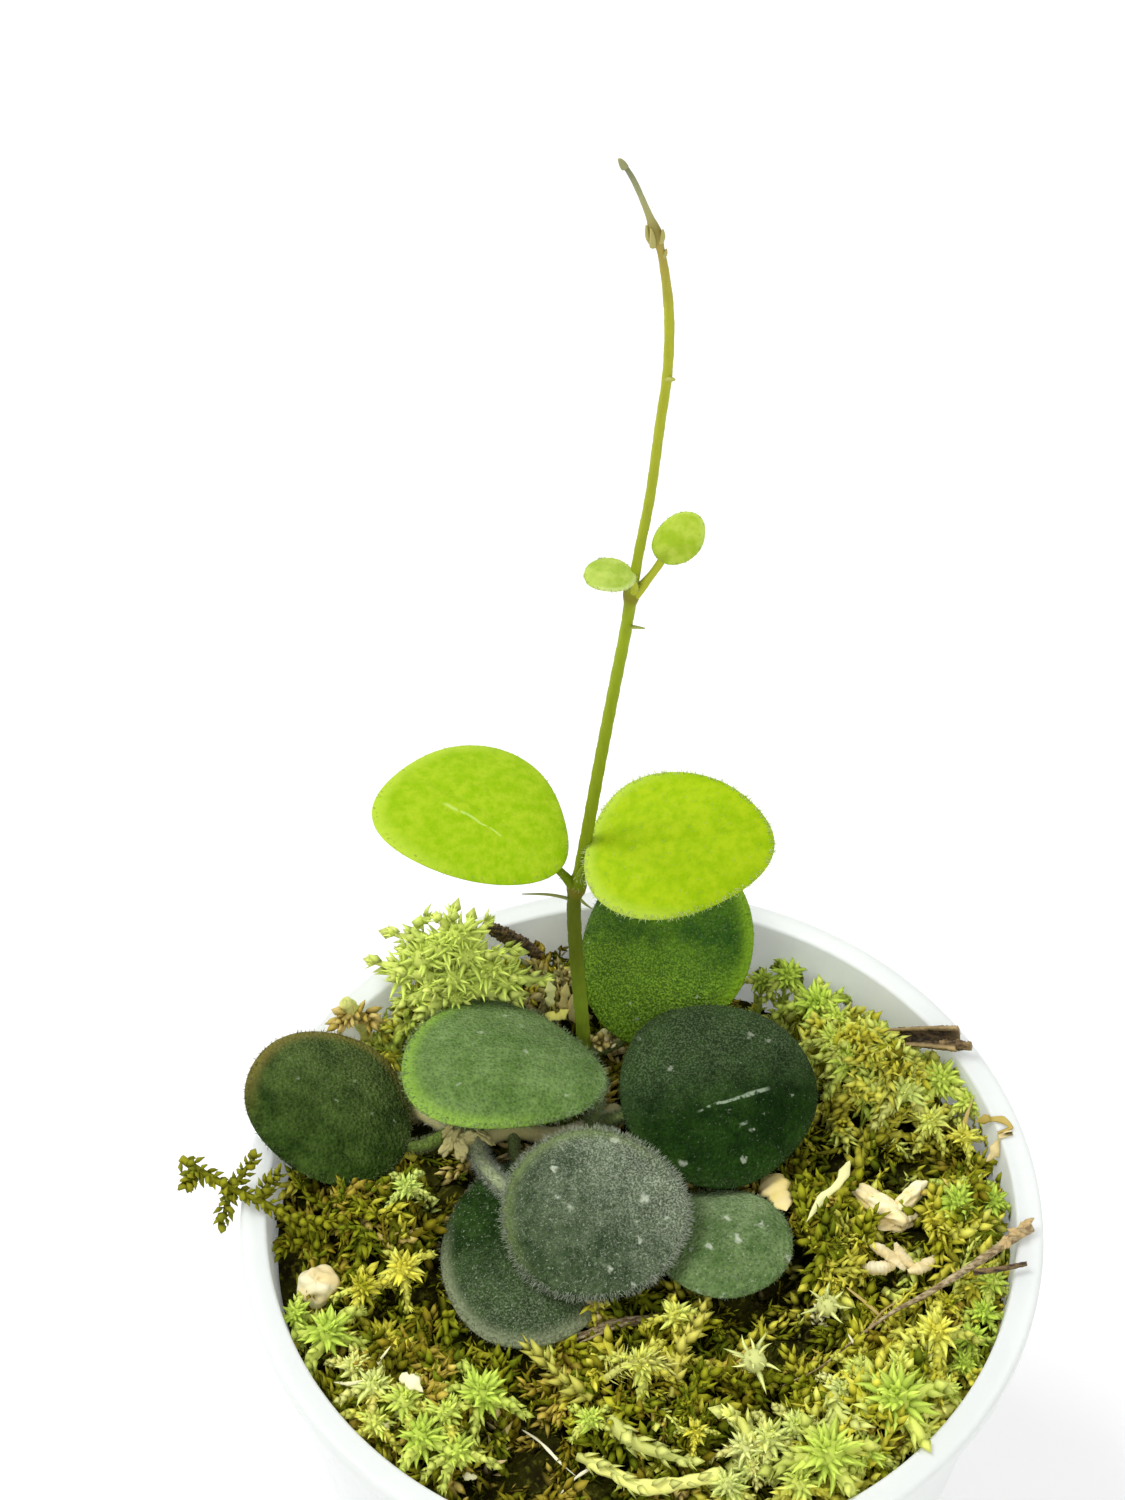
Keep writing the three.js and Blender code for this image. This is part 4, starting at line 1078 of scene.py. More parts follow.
# Loose strands by the moss piece that they lie in: route, half width, age, bleached and brown
STRANDS = {
    "moss_behind_stem": [
        ([(-11.9, 27, -1.5), (-11.6, 26.6, 1.6), (-11.9, 26.4, 4.4)], 0.9, 0.36, 0.45, 0.0),
        ([(-10.4, 27.4, -3), (-10, 27, 0.4), (-9.7, 27, 3.4)], 0.8, 0.8, 0.3, 0.0),
        ([(-12.3, 26.6, -2.5), (-10.8, 26, -2.2), (-9.4, 26, -0.6)], 0.9, 0.42, 0.2, 0.0),
        ([(-8.6, 27, -4.6), (-9.2, 26.8, -1.8), (-8.9, 27, 1.4)], 0.7, 0.84, 0.3, 0.0),
        ([(-4.4, 25.8, -3.6), (-5.8, 25.6, -5.2), (-7.2, 25.2, -7)], 0.6, 0.36, 0.6, 0.0),
    ],
    "moss_front_left": [
        ([(-26.9, -29, -1.2), (-26.2, -29.3, -0.8), (-25.5, -29.7, -1.2)], 1.0, 0.42, 0.6, 0.0),
        ([(-17.6, -33.2, -3.6), (-16.9, -33.4, -3.4), (-16.0, -33.3, -3.7)], 0.6, 0.42, 0.8, 0.0),
        ([(-29.7, -24.7, -2.6), (-28.1, -24, 0.2), (-25.9, -22.1, 2.8)], 0.4, 0.4, 0.75, 0.0),
        ([(-32.3, -23.1, -3.6), (-30.1, -24.4, -1.4), (-27.9, -24.2, -0.2)], 0.3, 0.35, 0.75, 0.0),
        ([(-24.7, -25, 1.8), (-23.3, -26.1, 2.7), (-22, -27, 2.2)], 1.1, 0.4, 0.8, 0.0),
    ],
    "moss_front": [
        ([(9.4, -26.6, 0.6), (11.1, -27.2, -1.6), (12, -28.9, -3), (12.3, -30.9, -4)], 0.7, 0.3, 0.3, 0.0),
        ([(-11.8, -26.7, -5.4), (-9.7, -28.5, -4.6), (-7.5, -30.8, -4.4), (-5.6, -32.1, -5)],
         0.24, 0.4, 1, 0),
        ([(-7.3, -34, -5.2), (-5.8, -32.6, -4.3), (-3.5, -31, -3.8), (-2.9, -30.5, -3)], 0.24, 0.4, 1.0, 0.0),
    ],
    "moss_front_right": [
        ([(23, -15.1, -2.4), (24.3, -17, -3), (25.6, -19.6, -1.4), (26.5, -22.7, 0.9)], 0.3, 0.4, 0.95, 0.0),
        ([(31.5, -16.6, -1), (31.6, -18.8, -1.5), (30, -20.4, -2), (28.4, -20.9, -2.4)], 0.85, 0.32, 0.4, 0),
    ],
    "moss_centre_right": [
        ([(23.7, 6.4, -1), (22.2, 2.4, 0.2), (20.4, 0.5, 0), (18.6, -2.2, -0.8)], 0.8, 0.36, 0.55, 0.0),
        ([(13.9, 5.9, -4), (15.3, 3.4, -3), (16.4, -0.6, -1.2)], 2.4, 0.86, 0.1, 0.0),
        ([(29.6, -9.9, -3), (26.8, -11.8, -3.4), (24.1, -15.8, -4), (22.6, -17.8, -4.6)], 0.2, 0.84, 0, 0.5),
        ([(23, -9.2, -2.6), (25.7, -11.1, -3.4), (27.7, -12.9, -4.1)], 0.3, 0.84, 0.0, 0.4),
    ],
    "moss_right": [
        ([(37, 11.5, -4.5), (37.5, 14, -2.8), (38.2, 15.6, -0.9)], 0.4, 0.86, 0.0, 0.3),
        ([(38.6, 13.6, -2.6), (40, 12.6, -0.4), (41.3, 11.6, 0.7), (42.6, 10.5, 0.2)], 0.7, 0.82, 0.0, 0.35),
        ([(42.2, 10.2, 0.6), (41, 9.4, -1.2), (39.5, 8.3, -3)], 1.1, 0.88, 0.1, 0.0),
    ],
}


def add_strands(shell, strands):
    """Loose leaves, roots and pale strands: flat pointed ribbons along a route."""
    share = np.linspace(0, 1, 18)
    for route, half, age, bleached, brown in strands:
        path = smooth_path(route, 18)
        width = 0.65 * half * np.clip(2.2 * share**0.5, 0, 1) * np.clip(2.5 * (1 - share) ** 0.8, 0.04, 1)
        width = width * (1 + 0.22 * np.sin(11 * share + half * 7) + 0.12 * np.sin(29 * share + half))
        points, triangles, _ = tubes(path[None], width[None], 8, 0.35, np.array([0.0, -0.4, 0.9]))
        add_moss(shell, points, triangles, 0.7, 0.6, age, bleached, brown, lowest=0.5)


def add_tuft(shell, random):
    """The tall tuft's arms and its crown of slim rosettes, small ones beside the pale leaf."""
    limbs(shell, TUFT_ARMS, 0.2, random, 0.08, 1.05, spread=30)
    for centre in TUFT_CROWN:
        radius = 3.9 if centre[1] > 27 else 2.8
        rosette(shell, centre, radius, 0.2, random, (0.1, -0.3), 0.05, 0.9, 0.65)


def add_pale_limbs(shell, random):
    """The pale branches."""
    limbs(shell, PALE_LIMBS, 0.31, random, 0.12, 0.9)


def add_ochre_sprigs(shell, random):
    """The golden sprigs, and the stalk with its mane of thin leaves."""
    sprigs = np.stack([smooth_path(route, 12) for route in OCHRE_SPRIGS])
    gold = dict(SPIKY, leaf=2.7, broad=1.3, count=26, core=0.45, spread=40)
    shoots(shell, sprigs, (0.45, 0.49), gold, random, bleached=0.1, lowest=0.65)
    mane = dict(SPIKY, count=60, spread=62, leaf=2.2, broad=0.5)
    shoots(shell, smooth_path(PALE_MANE, 12)[None], 0.37, mane, random, bleached=0.15, lowest=0.6)


# Cushions whose second kind of shoot is spiky, and what only one cushion has
FRESH = ("moss_tuft_back_left", "moss_front_left", "moss_front_right", "moss_right", "moss_back_right")
ONLY_ON = {
    "moss_tuft_back_left": add_tuft,
    "moss_front_right": add_pale_limbs,
    "moss_front": add_ochre_sprigs,
}


def make_moss(material):
    """Each cushion of the model becomes its star heads, creeping shoots and loose strands.

    The moss behind the stem stands higher and is paler: bleached, and kept out of the deepest painted shade.
    Shoots are counted by area.
    """
    for number, (name, cushion) in enumerate(CUSHIONS.items()):
        random = np.random.default_rng(SEEDS["cushions"] + number)
        shell = Shell()
        area = math.pi * cushion[2] * cushion[3]
        behind = name == "moss_behind_stem"
        rise = (1, 6) if behind else (0.3, 3)
        airy = {"bleached": 0.22, "lowest": 0.6} if behind else {}
        star_heads(shell, STARS.get(name, []), random)
        second = SPIKY if name in FRESH else SLENDER
        for clad, share, length in ((PLUMP, 0.24, (3.5, 7)), (second, 0.22, (4, 8))):
            starts, _ = on_lumps(on_cushion(cushion, int(area * share), random), random)
            ages = moss_age(starts, random)
            shoots(shell, creeping_paths(starts, random, length, rise), ages, clad, random, **airy)
        if name in ONLY_ON:
            ONLY_ON[name](shell, random)
        add_strands(shell, STRANDS.get(name, []))
        shell.piece(name + "_shoots", material, [name])


CARPET_REACH = 40.5


def make_bed_moss(moss, old_moss_and_shade):
    """The bed's rough top, and old shoots that creep all over it, and short ones in hollows, darker in their
    own tone and in painted shade.
    """
    ground_shell = Shell()
    add_bed(ground_shell)
    ground_shell.piece("old_moss_bed", old_moss_and_shade, ["moss_bed"])
    random = np.random.default_rng(SEEDS["carpet"])
    shell = Shell()
    for clad, total, length in ((PLUMP, 460, (4, 8)), (SLENDER, 320, (5, 10))):
        reach = CARPET_REACH * np.sqrt(random.uniform(0, 1, total))
        turn = random.uniform(0, 2 * math.pi, total)
        starts, low = on_lumps(np.stack([reach * np.cos(turn), reach * np.sin(turn)], -1), random)
        paths = creeping_paths(starts, random, length, (0.3, 3))
        shoots(shell, paths, moss_age(starts, random), clad, random)
        low = np.repeat(low, 2, axis=0) + random.normal(0, 1.5, (2 * len(low), 2))
        ages = random.uniform(0.5, 0.68, len(low))
        paths = creeping_paths(low, random, (2, 4), (0.6, 1.8), steps=5)
        shoots(shell, paths, ages, dict(SLENDER, count=10), random, size=0.78, lowest=0.25)
    shell.piece("moss_carpet", moss, ["moss_bed"])


# Stems

UPRIGHT_ROUTE = [
    (-7.6, 24, -13.5), (-7.6, 24, -8), (-7.6, 24, -2.9), (-8, 23.8, 5), (-8.5, 23.5, 14),
    (-8.7, 23.2, 22.4), (-8.3, 23, 26.5), (-7.4, 22.8, 34), (-5.9, 22.4, 47.3), (-4.5, 22, 59),
    (-3.6, 21.8, 66.2), (-3, 21.5, 72.3), (-2.4, 21.3, 77.9), (-1.5, 21, 85.2), (-0.8, 20.7, 94),
    (-0.3, 20.5, 100), (-0.3, 20.3, 106.1), (-0.85, 20.1, 111.4), (-1.65, 20, 115.1),
    (-3.4, 19.7, 120.1), (-4.6, 19.5, 122.5),
]
# Joints of the upright stem: height and how much thicker it is there
UPRIGHT_JOINTS = [(-6, 0.4), (25.9, 0.42), (72.1, 0.3), (115.4, 0.26)]
JOINT_REACH = 1.1
# Radius of the upright stem by height
UPRIGHT_GIRTH = [
    (-13, 0.86), (24, 0.8), (28, 0.7), (70, 0.6), (76, 0.5), (108, 0.45), (116, 0.3), (122.5, 0.22),
]
CREEPING_ROUTE = [
    (-27.2, 14.2, -12.5), (-27.2, 14.2, -7.5), (-26, 13, -4.6), (-22, 9.9, -3.6), (-18.6, 9, -3.3),
    (-15.1, 10, -3.1), (-10.6, 9.7, -3.2), (-6.4, 11.2, -3.3), (-4.2, 12.4, -3.4), (-3.5, 14.6, -5.2),
    (-3.4, 15.6, -9), (-3.4, 15.8, -12.5),
]
SIDE_ROUTE = [(3.2, 2.4, -12.5), (3.2, 2.5, -7.5), (2.4, 3.6, -5.3), (0.4, 6, -4.7), (-1.6, 8.2, -4.6)]
# Aerial roots, a spur, a nub and buds on the upright stem: route and radius
UPRIGHT_EXTRAS = [
    ([(-8.7, 23, 23.4), (-10.2, 22.6, 24.5), (-12, 22.5, 24.9), (-14.5, 22.4, 24.9)], 0.2),
    ([(-8.4, 23, 24.2), (-7.4, 22.4, 23.6), (-6.6, 21.9, 23.4)], 0.2),
    ([(-3.2, 21.6, 67.6), (-2.3, 20.9, 68.2), (-1.6, 20.8, 68.2)], 0.22),
    ([(-0.4, 20.4, 99.6), (0.0, 20, 99.8), (0.4, 19.8, 99.9)], 0.34),
    ([(-1.5, 20, 114.2), (-1.15, 19.8, 115), (-1.1, 19.7, 115.8)], 0.36),
    ([(-1.8, 20, 114), (-2.3, 19.8, 115), (-2.5, 19.7, 116.2)], 0.32),
    ([(-1.9, 19.6, 114.2), (-1.95, 19.4, 115.2), (-2.1, 19.4, 116.1)], 0.3),
    ([(-1.05, 20, 112.8), (-0.85, 19.9, 113.3), (-0.75, 19.8, 113.8)], 0.26),
    ([(-3, 21.5, 71.6), (-2.6, 21, 72.6), (-2.2, 20.9, 73.2)], 0.3),
    ([(-4.4, 19.5, 122.0), (-4.7, 19.4, 122.6), (-4.9, 19.3, 122.9)], 0.36),
]


STEM_TONES = [
    (0.0, shade(140, 166, 44)), (0.12, shade(134, 158, 42)), (0.2, shade(98, 110, 26)),
    (0.27, shade(96, 108, 26)), (0.3, shade(120, 138, 14)), (0.6, shade(148, 166, 28)),
    (0.88, shade(176, 178, 48)), (0.93, shade(172, 156, 74)), (0.97, shade(168, 170, 118)),
    (1.0, shade(116, 120, 92)),
]
FUZZY_TONES = [(0.0, shade(176, 178, 132)), (0.45, shade(196, 192, 140)), (1.0, shade(214, 210, 184))]


def fuzz(shell, path, radius, total, random, long, fine, notes, spots=(0, 0, 0)):
    """Hairs that stand out all round a stem or stalk, about long and as wide as fine."""
    centres, (_, side, top) = along_paths(path[None], random.uniform(0.02, 0.98, total))
    angle = random.uniform(0, 2 * math.pi, total)[None, :, None]
    radial = (np.cos(angle) * side + np.sin(angle) * top)[0]
    pointing = unit(radial + 0.5 * random.normal(size=(total, 3)))
    roots = centres[0] + radial * radius * 0.9
    across = any_across(pointing, random)
    lengths = long * random.uniform(0.6, 1.3, total)
    points, triangles, _ = scatter(HAIR, roots, pointing, across, lengths, np.full(total, fine))
    shell.add(points, triangles, notes, spots)


def make_upright_stem(material):
    """An even taper with a swelling at each joint, fine down, aerial roots and tip buds."""
    random = np.random.default_rng(SEEDS["upright"])
    path = smooth_path(UPRIGHT_ROUTE, 260)
    height = path[:, 2]
    radii = np.interp(height, *zip(*UPRIGHT_GIRTH))
    swelling = np.zeros(len(path))
    for joint, rise in UPRIGHT_JOINTS:
        near = np.exp(-(((height - joint) / JOINT_REACH) ** 2))
        radii = radii + rise * near
        swelling = np.maximum(swelling, near)
    radii = radii * (1 + 0.03 * np.sin(height * 2.1) + 0.02 * np.sin(height * 5.3 + 1))
    shell = Shell()
    sides = 16
    points, triangles, along = tubes(path[None], radii[None], sides)
    tint = np.concatenate([[0], np.repeat(swelling, sides), [1]])
    shell.add(points, triangles, stack(along[0], tint, 0))
    low, high = UPRIGHT_ROUTE[0][2], UPRIGHT_ROUTE[-1][2]
    for route, radius in UPRIGHT_EXTRAS:
        bud = radius * (1 - 0.7 * np.linspace(0, 1, 14) ** 2)
        points, triangles, _ = tubes(smooth_path(route, 14)[None], bud[None], 8)
        shell.add(points, triangles, ((route[0][2] - low) / (high - low), 0.25, 0.3))
    fuzz(shell, path, 0.5, 700, random, 0.22, 0.035, (0.5, 0.3, 0.5))
    shell.piece("climbing_stem", material, ["upright_stem"])


# Dried papery sheaths on the creeping stem: centre, half sizes, and turns
SHEATHS = [
    ((-22.2, 7.2, -2.0), (1.5, 0.8, 0.22), (60, 25, 40)),
    ((-20.9, 6.4, -2.2), (1.3, 0.7, 0.2), (110, 35, -30)),
    ((-20.2, 7.6, -1.8), (1.1, 0.8, 0.2), (20, 10, 50)),
    ((-18.2, 8.0, -1.8), (1.2, 0.7, 0.25), (150, 20, 30)),
    ((-22.6, 8.8, -2.0), (0.9, 0.6, 0.25), (30, 50, 0)),
]


def make_low_stem(name, node, route, radius, hairs, material, sheaths=()):
    """A stem that creeps along the moss under dense short down, with flat dried sheaths."""
    random = np.random.default_rng(SEEDS["low_stems"] + hairs)
    path = smooth_path(route, 90)
    share = np.linspace(0, 1, len(path))
    swelling = np.sin(3 * math.pi * share) ** 2
    radii = radius + 0.2 * swelling
    shell = Shell()
    sides = 14
    points, triangles, along = tubes(path[None], radii[None], sides)
    tint = np.concatenate([[0], np.repeat(swelling, sides), [0]]) * 0.6
    shell.add(points, triangles, stack(along[0], tint, 0))
    for centre, halves, turns in sheaths:
        add_lump(shell, centre, halves, turns, random, 0.24, (0.5, 1.2, 0.2), 24, 12)
    fuzz(shell, path, radius, hairs, random, 0.6, 0.07, (0.4, 0.3, 0.8))
    shell.piece(name, material, [node])


def make_stems():
    """The climbing stem, the one that creeps along the moss, and the short one at its side."""
    green = stem_finish("green_stem", STEM_TONES, shade(120, 106, 34), shade(206, 206, 140))
    make_upright_stem(green)
    fuzzy = stem_finish("fuzzy_stem", FUZZY_TONES, shade(206, 192, 98), shade(230, 230, 206))
    make_low_stem("creeping_runner", "creeping_stem", CREEPING_ROUTE, 0.85, 2200, fuzzy, SHEATHS)
    make_low_stem("side_runner", "side_stem", SIDE_ROUTE, 0.75, 800, fuzzy)


# Leaves

class Leaf(NamedTuple):
    """One leaf: where blade and stalk meet, size, turn, outline and stalk.

    The foot is the place on the stem that the stalk springs from, and stalk is its radius.
    """

    base: tuple
    length: float
    width: float
    heading: float
    pitch: float
    roll: float
    egg: float
    thick: float
    foot: tuple
    stalk: float


class Down(NamedTuple):
    """Hairs on a leaf's face, edge and stalk, about how long they are, and how white."""

    face: int
    edge: int
    stalk: int
    long: float
    white: float


LEAVES = {
    "leaf_young_left": Leaf(
        (-10.2, 22.3, 30.2), 22.4, 20.3, 148.6, 5, 5, -0.2, 1.5, (-8.5, 23.1, 25.4), 0.62),
    "leaf_young_right": Leaf(
        (-7.5, 21.2, 32.8), 20.6, 16.9, 3.3, 12, 19.4, 0.12, 1.5, (-8.1, 22.9, 25.4), 0.6),
    "leaf_green_back": Leaf((-2.2, 22.6, -2), 24.4, 20.4, 68, 28, 5, -0.04, 1.7, (-7.6, 24, -6.1), 0.65),
    "leaf_pale_mid": Leaf((-4.6, 12.1, 2), 24, 22, 165, 0, 14, -0.34, 1.7, (-6.6, 11.1, -3.3), 0.7),
    "leaf_left": Leaf((-27.1, 6.9, -3), 20.4, 19.1, 165, 24, 0, 0.05, 1.8, (-22, 9.9, -3.6), 0.85),
    "leaf_right": Leaf((-2.4, 10.2, 1.2), 23.1, 22.6, 16, 0, 14, 0.11, 1.8, (-4.9, 11.9, -3.3), 0.75),
    "leaf_under_right": Leaf((-0.4, 9.8, -2.8), 17.5, 16.6, 26, 0, 6, 0, 1.6, (-1, 7.4, -4.6), 0.6),
    "leaf_front": Leaf((-15.4, -1.6, 1.2), 21, 19.8, -12, 1, 14, 0, 1.8, (-19.6, 9.4, -3.5), 1.0),
    "leaf_lower_left": Leaf((-14.5, 5, -2.8), 22.9, 19.1, -81, -5, 2, -0.01, 1.7, (-15.1, 10, -3.1), 0.7),
    "leaf_lower_right": Leaf((1.9, -0.7, -3.4), 16.3, 15.1, -27, 8, -4, -0.01, 1.6, (2.4, 3.6, -5.3), 0.6),
    "leaf_tip_left": Leaf((-2.6, 20.0, 75.2), 5.1, 4.5, 167, 2, -2, -0.2, 0.7, (-3, 21.5, 72.2), 0.4),
    "leaf_tip_right": Leaf((-0.4, 21, 77), 5.8, 4.8, 45, 29, 9, 0.06, 0.7, (-3, 21.5, 71.6), 0.52),
}
# How far the outline of a blade bulges at three corners, and their turn in radians
CORNERS = {"leaf_young_left": (0.026, 5.52), "leaf_young_right": (0.045, 2.87)}
# Where a stalk bends, when it isn't below the blade
ELBOWS = {"leaf_front": (-18.8, 3.8, -2.8)}
LEAF_DOWN = {
    "leaf_young_left": Down(120, 260, 60, 0.26, 0.6),
    "leaf_young_right": Down(160, 700, 60, 0.5, 0.8),
    "leaf_green_back": Down(200, 400, 120, 0.3, 0.4),
    "leaf_pale_mid": Down(1300, 800, 500, 0.65, 0.8),
    "leaf_left": Down(1100, 600, 900, 0.4, 0.6),
    "leaf_right": Down(800, 600, 400, 0.4, 0.5),
    "leaf_under_right": Down(300, 400, 120, 0.36, 0.4),
    "leaf_front": Down(1500, 1700, 1800, 0.7, 0.85),
    "leaf_lower_left": Down(800, 800, 300, 0.45, 0.6),
    "leaf_lower_right": Down(500, 500, 200, 0.36, 0.5),
    "leaf_tip_left": Down(40, 120, 20, 0.14, 0.4),
    "leaf_tip_right": Down(40, 120, 20, 0.14, 0.4),
}
PLAIN_CORNERS = 0.012
BLADE_BEND = 0.045
BLADE_WAVES = 0.02
BLADE_SIDES = 128
GROOVE_DEPTH = 0.16
GROOVE_WIDTH = 0.05
# Blades up to this length have no groove
SMOOTH_LENGTH = 10
STALK_ELBOW = 0.1
FACE_HAIR_WIDTH = 0.045
EDGE_HAIR_WIDTH = 0.075


def turn_matrix(heading, pitch, roll):
    """Rotation about X by the roll, then Y by minus the pitch, then Z by the heading."""
    turns = [Matrix.Rotation(math.radians(angle), 3, axis)
             for angle, axis in ((heading, "Z"), (-pitch, "Y"), (roll, "X"))]
    return np.array(turns[0] @ turns[1] @ turns[2])


class Blade:
    """One leaf blade as a function of a point of the unit disc, +x towards the tip.

    Along it is half the length times (1 + x), across it half the width times y, less
    where the egg term narrows it, and the outline's corners stretch both. The two faces
    stand off the middle by half the thickness times the root of 1 - r cubed, and the whole
    bends down with r squared.
    """

    def __init__(self, name):
        self.name = name
        self.leaf = LEAVES[name]
        self.turn = turn_matrix(self.leaf.heading, self.leaf.pitch, self.leaf.roll)
        self.phase = np.random.default_rng(len(name) * 7 + ord(name[5])).uniform(0, 6, 3)
        self.corners, self.corner_turn = CORNERS.get(name, (PLAIN_CORNERS, self.phase[0]))

    def local(self, x, y, face):
        """Place in the leaf's own axes; face is 1 on top and -1 underneath."""
        r = np.hypot(x, y)
        angle = np.arctan2(y, x)
        leaf = self.leaf
        wobble = 1 + self.corners * np.sin(3 * angle + self.corner_turn)
        wobble = wobble + 0.008 * np.sin(5 * angle + self.phase[1])
        along = leaf.length / 2 * (1 + x * wobble)
        across = leaf.width / 2 * y * wobble * (1 - leaf.egg * x)
        body = leaf.thick / 2 * np.sqrt(np.clip(1 - r**3, 0, 1)) * face
        bend = BLADE_BEND * leaf.length * (1 - r**2)
        groove = GROOVE_DEPTH * np.exp(-((y / GROOVE_WIDTH) ** 2)) * np.clip(1 - x**2, 0, 1) * (face > 0)
        waves = BLADE_WAVES * leaf.length * r**2 * np.sin(2 * angle + self.phase[2])
        return np.stack([along, across, body + bend + waves - groove * (leaf.length > SMOOTH_LENGTH)], -1)

    def placed(self, local):
        """Places in the leaf's own axes, moved to where the leaf is."""
        return local @ self.turn.T + self.leaf.base

    def normal(self, x, y):
        """Upward normal of the top face, from two small steps on the disc."""
        step = 0.01
        here = self.local(x, y, 1)
        forward = self.local(x + step, y, 1) - here
        sideways = self.local(x, y + step, 1) - here
        return unit(np.cross(forward, sideways)) @ self.turn.T


def add_blade(shell, blade):
    """The closed blade: rings from the middle underneath, round the edge, to the middle on top."""
    under = np.array([0.2, 0.45, 0.68, 0.84, 0.93, 0.975])
    top = np.concatenate([[0.995, 0.985, 0.965, 0.94], np.linspace(0.9, 0.03, 30)])
    rings = np.concatenate([under, [1.0], top])
    face = np.concatenate([-np.ones(len(under)), [0.0], np.ones(len(top))])[:, None]
    angle = np.linspace(0, 2 * math.pi, BLADE_SIDES, endpoint=False)
    x, y = rings[:, None] * np.cos(angle), rings[:, None] * np.sin(angle)
    surface = blade.local(x, y, face)
    poles = blade.local(np.zeros(2), np.zeros(2), np.array([-1.0, 1.0]))
    local = np.concatenate([poles[:1], surface.reshape(-1, 3), poles[1:]])
    disc_x, disc_y = (np.concatenate([[0], values.ravel(), [0]]) for values in (x, y))
    notes = stack(np.hypot(disc_x, disc_y), 0.5, 0.0)
    triangles = capped_grid(len(rings), BLADE_SIDES)
    shell.add(blade.placed(local), triangles, notes, stack(disc_x, disc_y, 0.0))


def add_hairs(shell, shape, points, triangles, x, y, r, white):
    """Adds hairs that were made from a shape, with the place on the disc noted for each."""
    each = len(shape[0])
    notes = np.repeat(stack(r, 0, white), each, axis=0)
    spots = np.repeat(stack(x, y, 0), each, axis=0)
    shell.add(points, triangles, notes, spots)


def add_down(shell, blade, down, random):
    """Short hairs that lean over the top face."""
    total = down.face
    r = np.sqrt(random.uniform(0, 0.97, total))
    angle = random.uniform(0, 2 * math.pi, total)
    x, y = r * np.cos(angle), r * np.sin(angle)
    normal = blade.normal(x, y)
    forward = unit(normal * random.uniform(0.15, 0.7, total)[:, None] + any_across(normal, random))
    across = any_across(forward, random)
    lengths = random.uniform(0.5, 1.3, total) * down.long
    roots = blade.placed(blade.local(x, y, 1))
    points, triangles, _ = scatter(HAIR, roots, forward, across, lengths, np.full(total, FACE_HAIR_WIDTH))
    white = down.white * random.uniform(0.3, 1, total)
    add_hairs(shell, HAIR, points, triangles, x, y, r, white)


def add_fringe(shell, blade, down, random):
    """Longer curved hairs that stand out from the edge of the blade."""
    total = down.edge
    angle = random.uniform(0, 2 * math.pi, total)
    inset = random.uniform(0.94, 1.0, total)
    x, y = inset * np.cos(angle), inset * np.sin(angle)
    face = np.where(random.uniform(size=total) < 0.7, 1.0, -1.0)
    roots = blade.placed(blade.local(x, y, face))
    outward = unit(np.stack([np.cos(angle), np.sin(angle), 0.25 + 0 * angle], -1)) @ blade.turn.T
    forward = unit(outward + random.normal(0, 0.35, (total, 3)))
    across = any_across(forward, random)
    lengths = random.uniform(0.5, 1.5, total) * down.long
    widths = np.full(total, EDGE_HAIR_WIDTH)
    points, triangles, _ = scatter(CURVED_HAIR, roots, forward, across, lengths, widths)
    white = down.white * random.uniform(0.5, 1.2, total)
    add_hairs(shell, CURVED_HAIR, points, triangles, x, y, 1.0, white)


def add_stalk(shell, blade, down, random):
    """The stalk bends from its foot in the stem into the blade's underside."""
    leaf = blade.leaf
    base, foot = np.array(leaf.base, float), np.array(leaf.foot, float)
    reach = blade.placed(np.array([0.1 * leaf.length, 0, -0.1 * leaf.thick]))
    drop = (0, 0, -1.6 * leaf.stalk)
    elbow = base - unit(reach - base) * STALK_ELBOW * np.linalg.norm(base - foot) + drop
    elbow = np.array(ELBOWS.get(blade.name, elbow))
    share = np.linspace(0, 1, 20)[:, None]
    path = (1 - share) ** 2 * foot + 2 * share * (1 - share) * elbow + share**2 * reach
    radii = leaf.stalk * (1 + 0.15 * np.cos(2 * math.pi * share[:, 0])) * (1 - 0.4 * share[:, 0] ** 2)
    points, triangles, _ = tubes(path[None], radii[None], 12)
    shell.add(points, triangles, (0.2, 0.5, 0.0), (-1.0, 0, 1.0))
    fuzz(shell, path, leaf.stalk, down.stalk, random, 1.3 * down.long, 0.06, (0.2, 0.5, 1.1), (-1, 0, 1))


PLAIN_LOOK = {
    "dust": (0, 0, 0.0), "flecks": 0.0, "rim_side": (0, 0), "marks": [], "gloss": 0.45, "glow": 0.0,
    "shine": 0.06, "mark": shade(166, 184, 156), "pebbles": 1.0, "patch": 3.4, "blots": 0.03,
    "beads": 0.0, "stalk": shade(118, 132, 78),
}
YOUNG = {"glow": 0.1, "pebbles": 0.14, "gloss": 0.5, "patch": 1.5, "mark": shade(202, 226, 124)}


def look(deep, light, rim, down, **changes):
    """The look of one leaf; what isn't given is plain."""
    tones = {"deep": shade(*deep), "light": shade(*light), "rim": shade(*rim), "down": shade(*down)}
    return dict(PLAIN_LOOK, **tones, **changes)


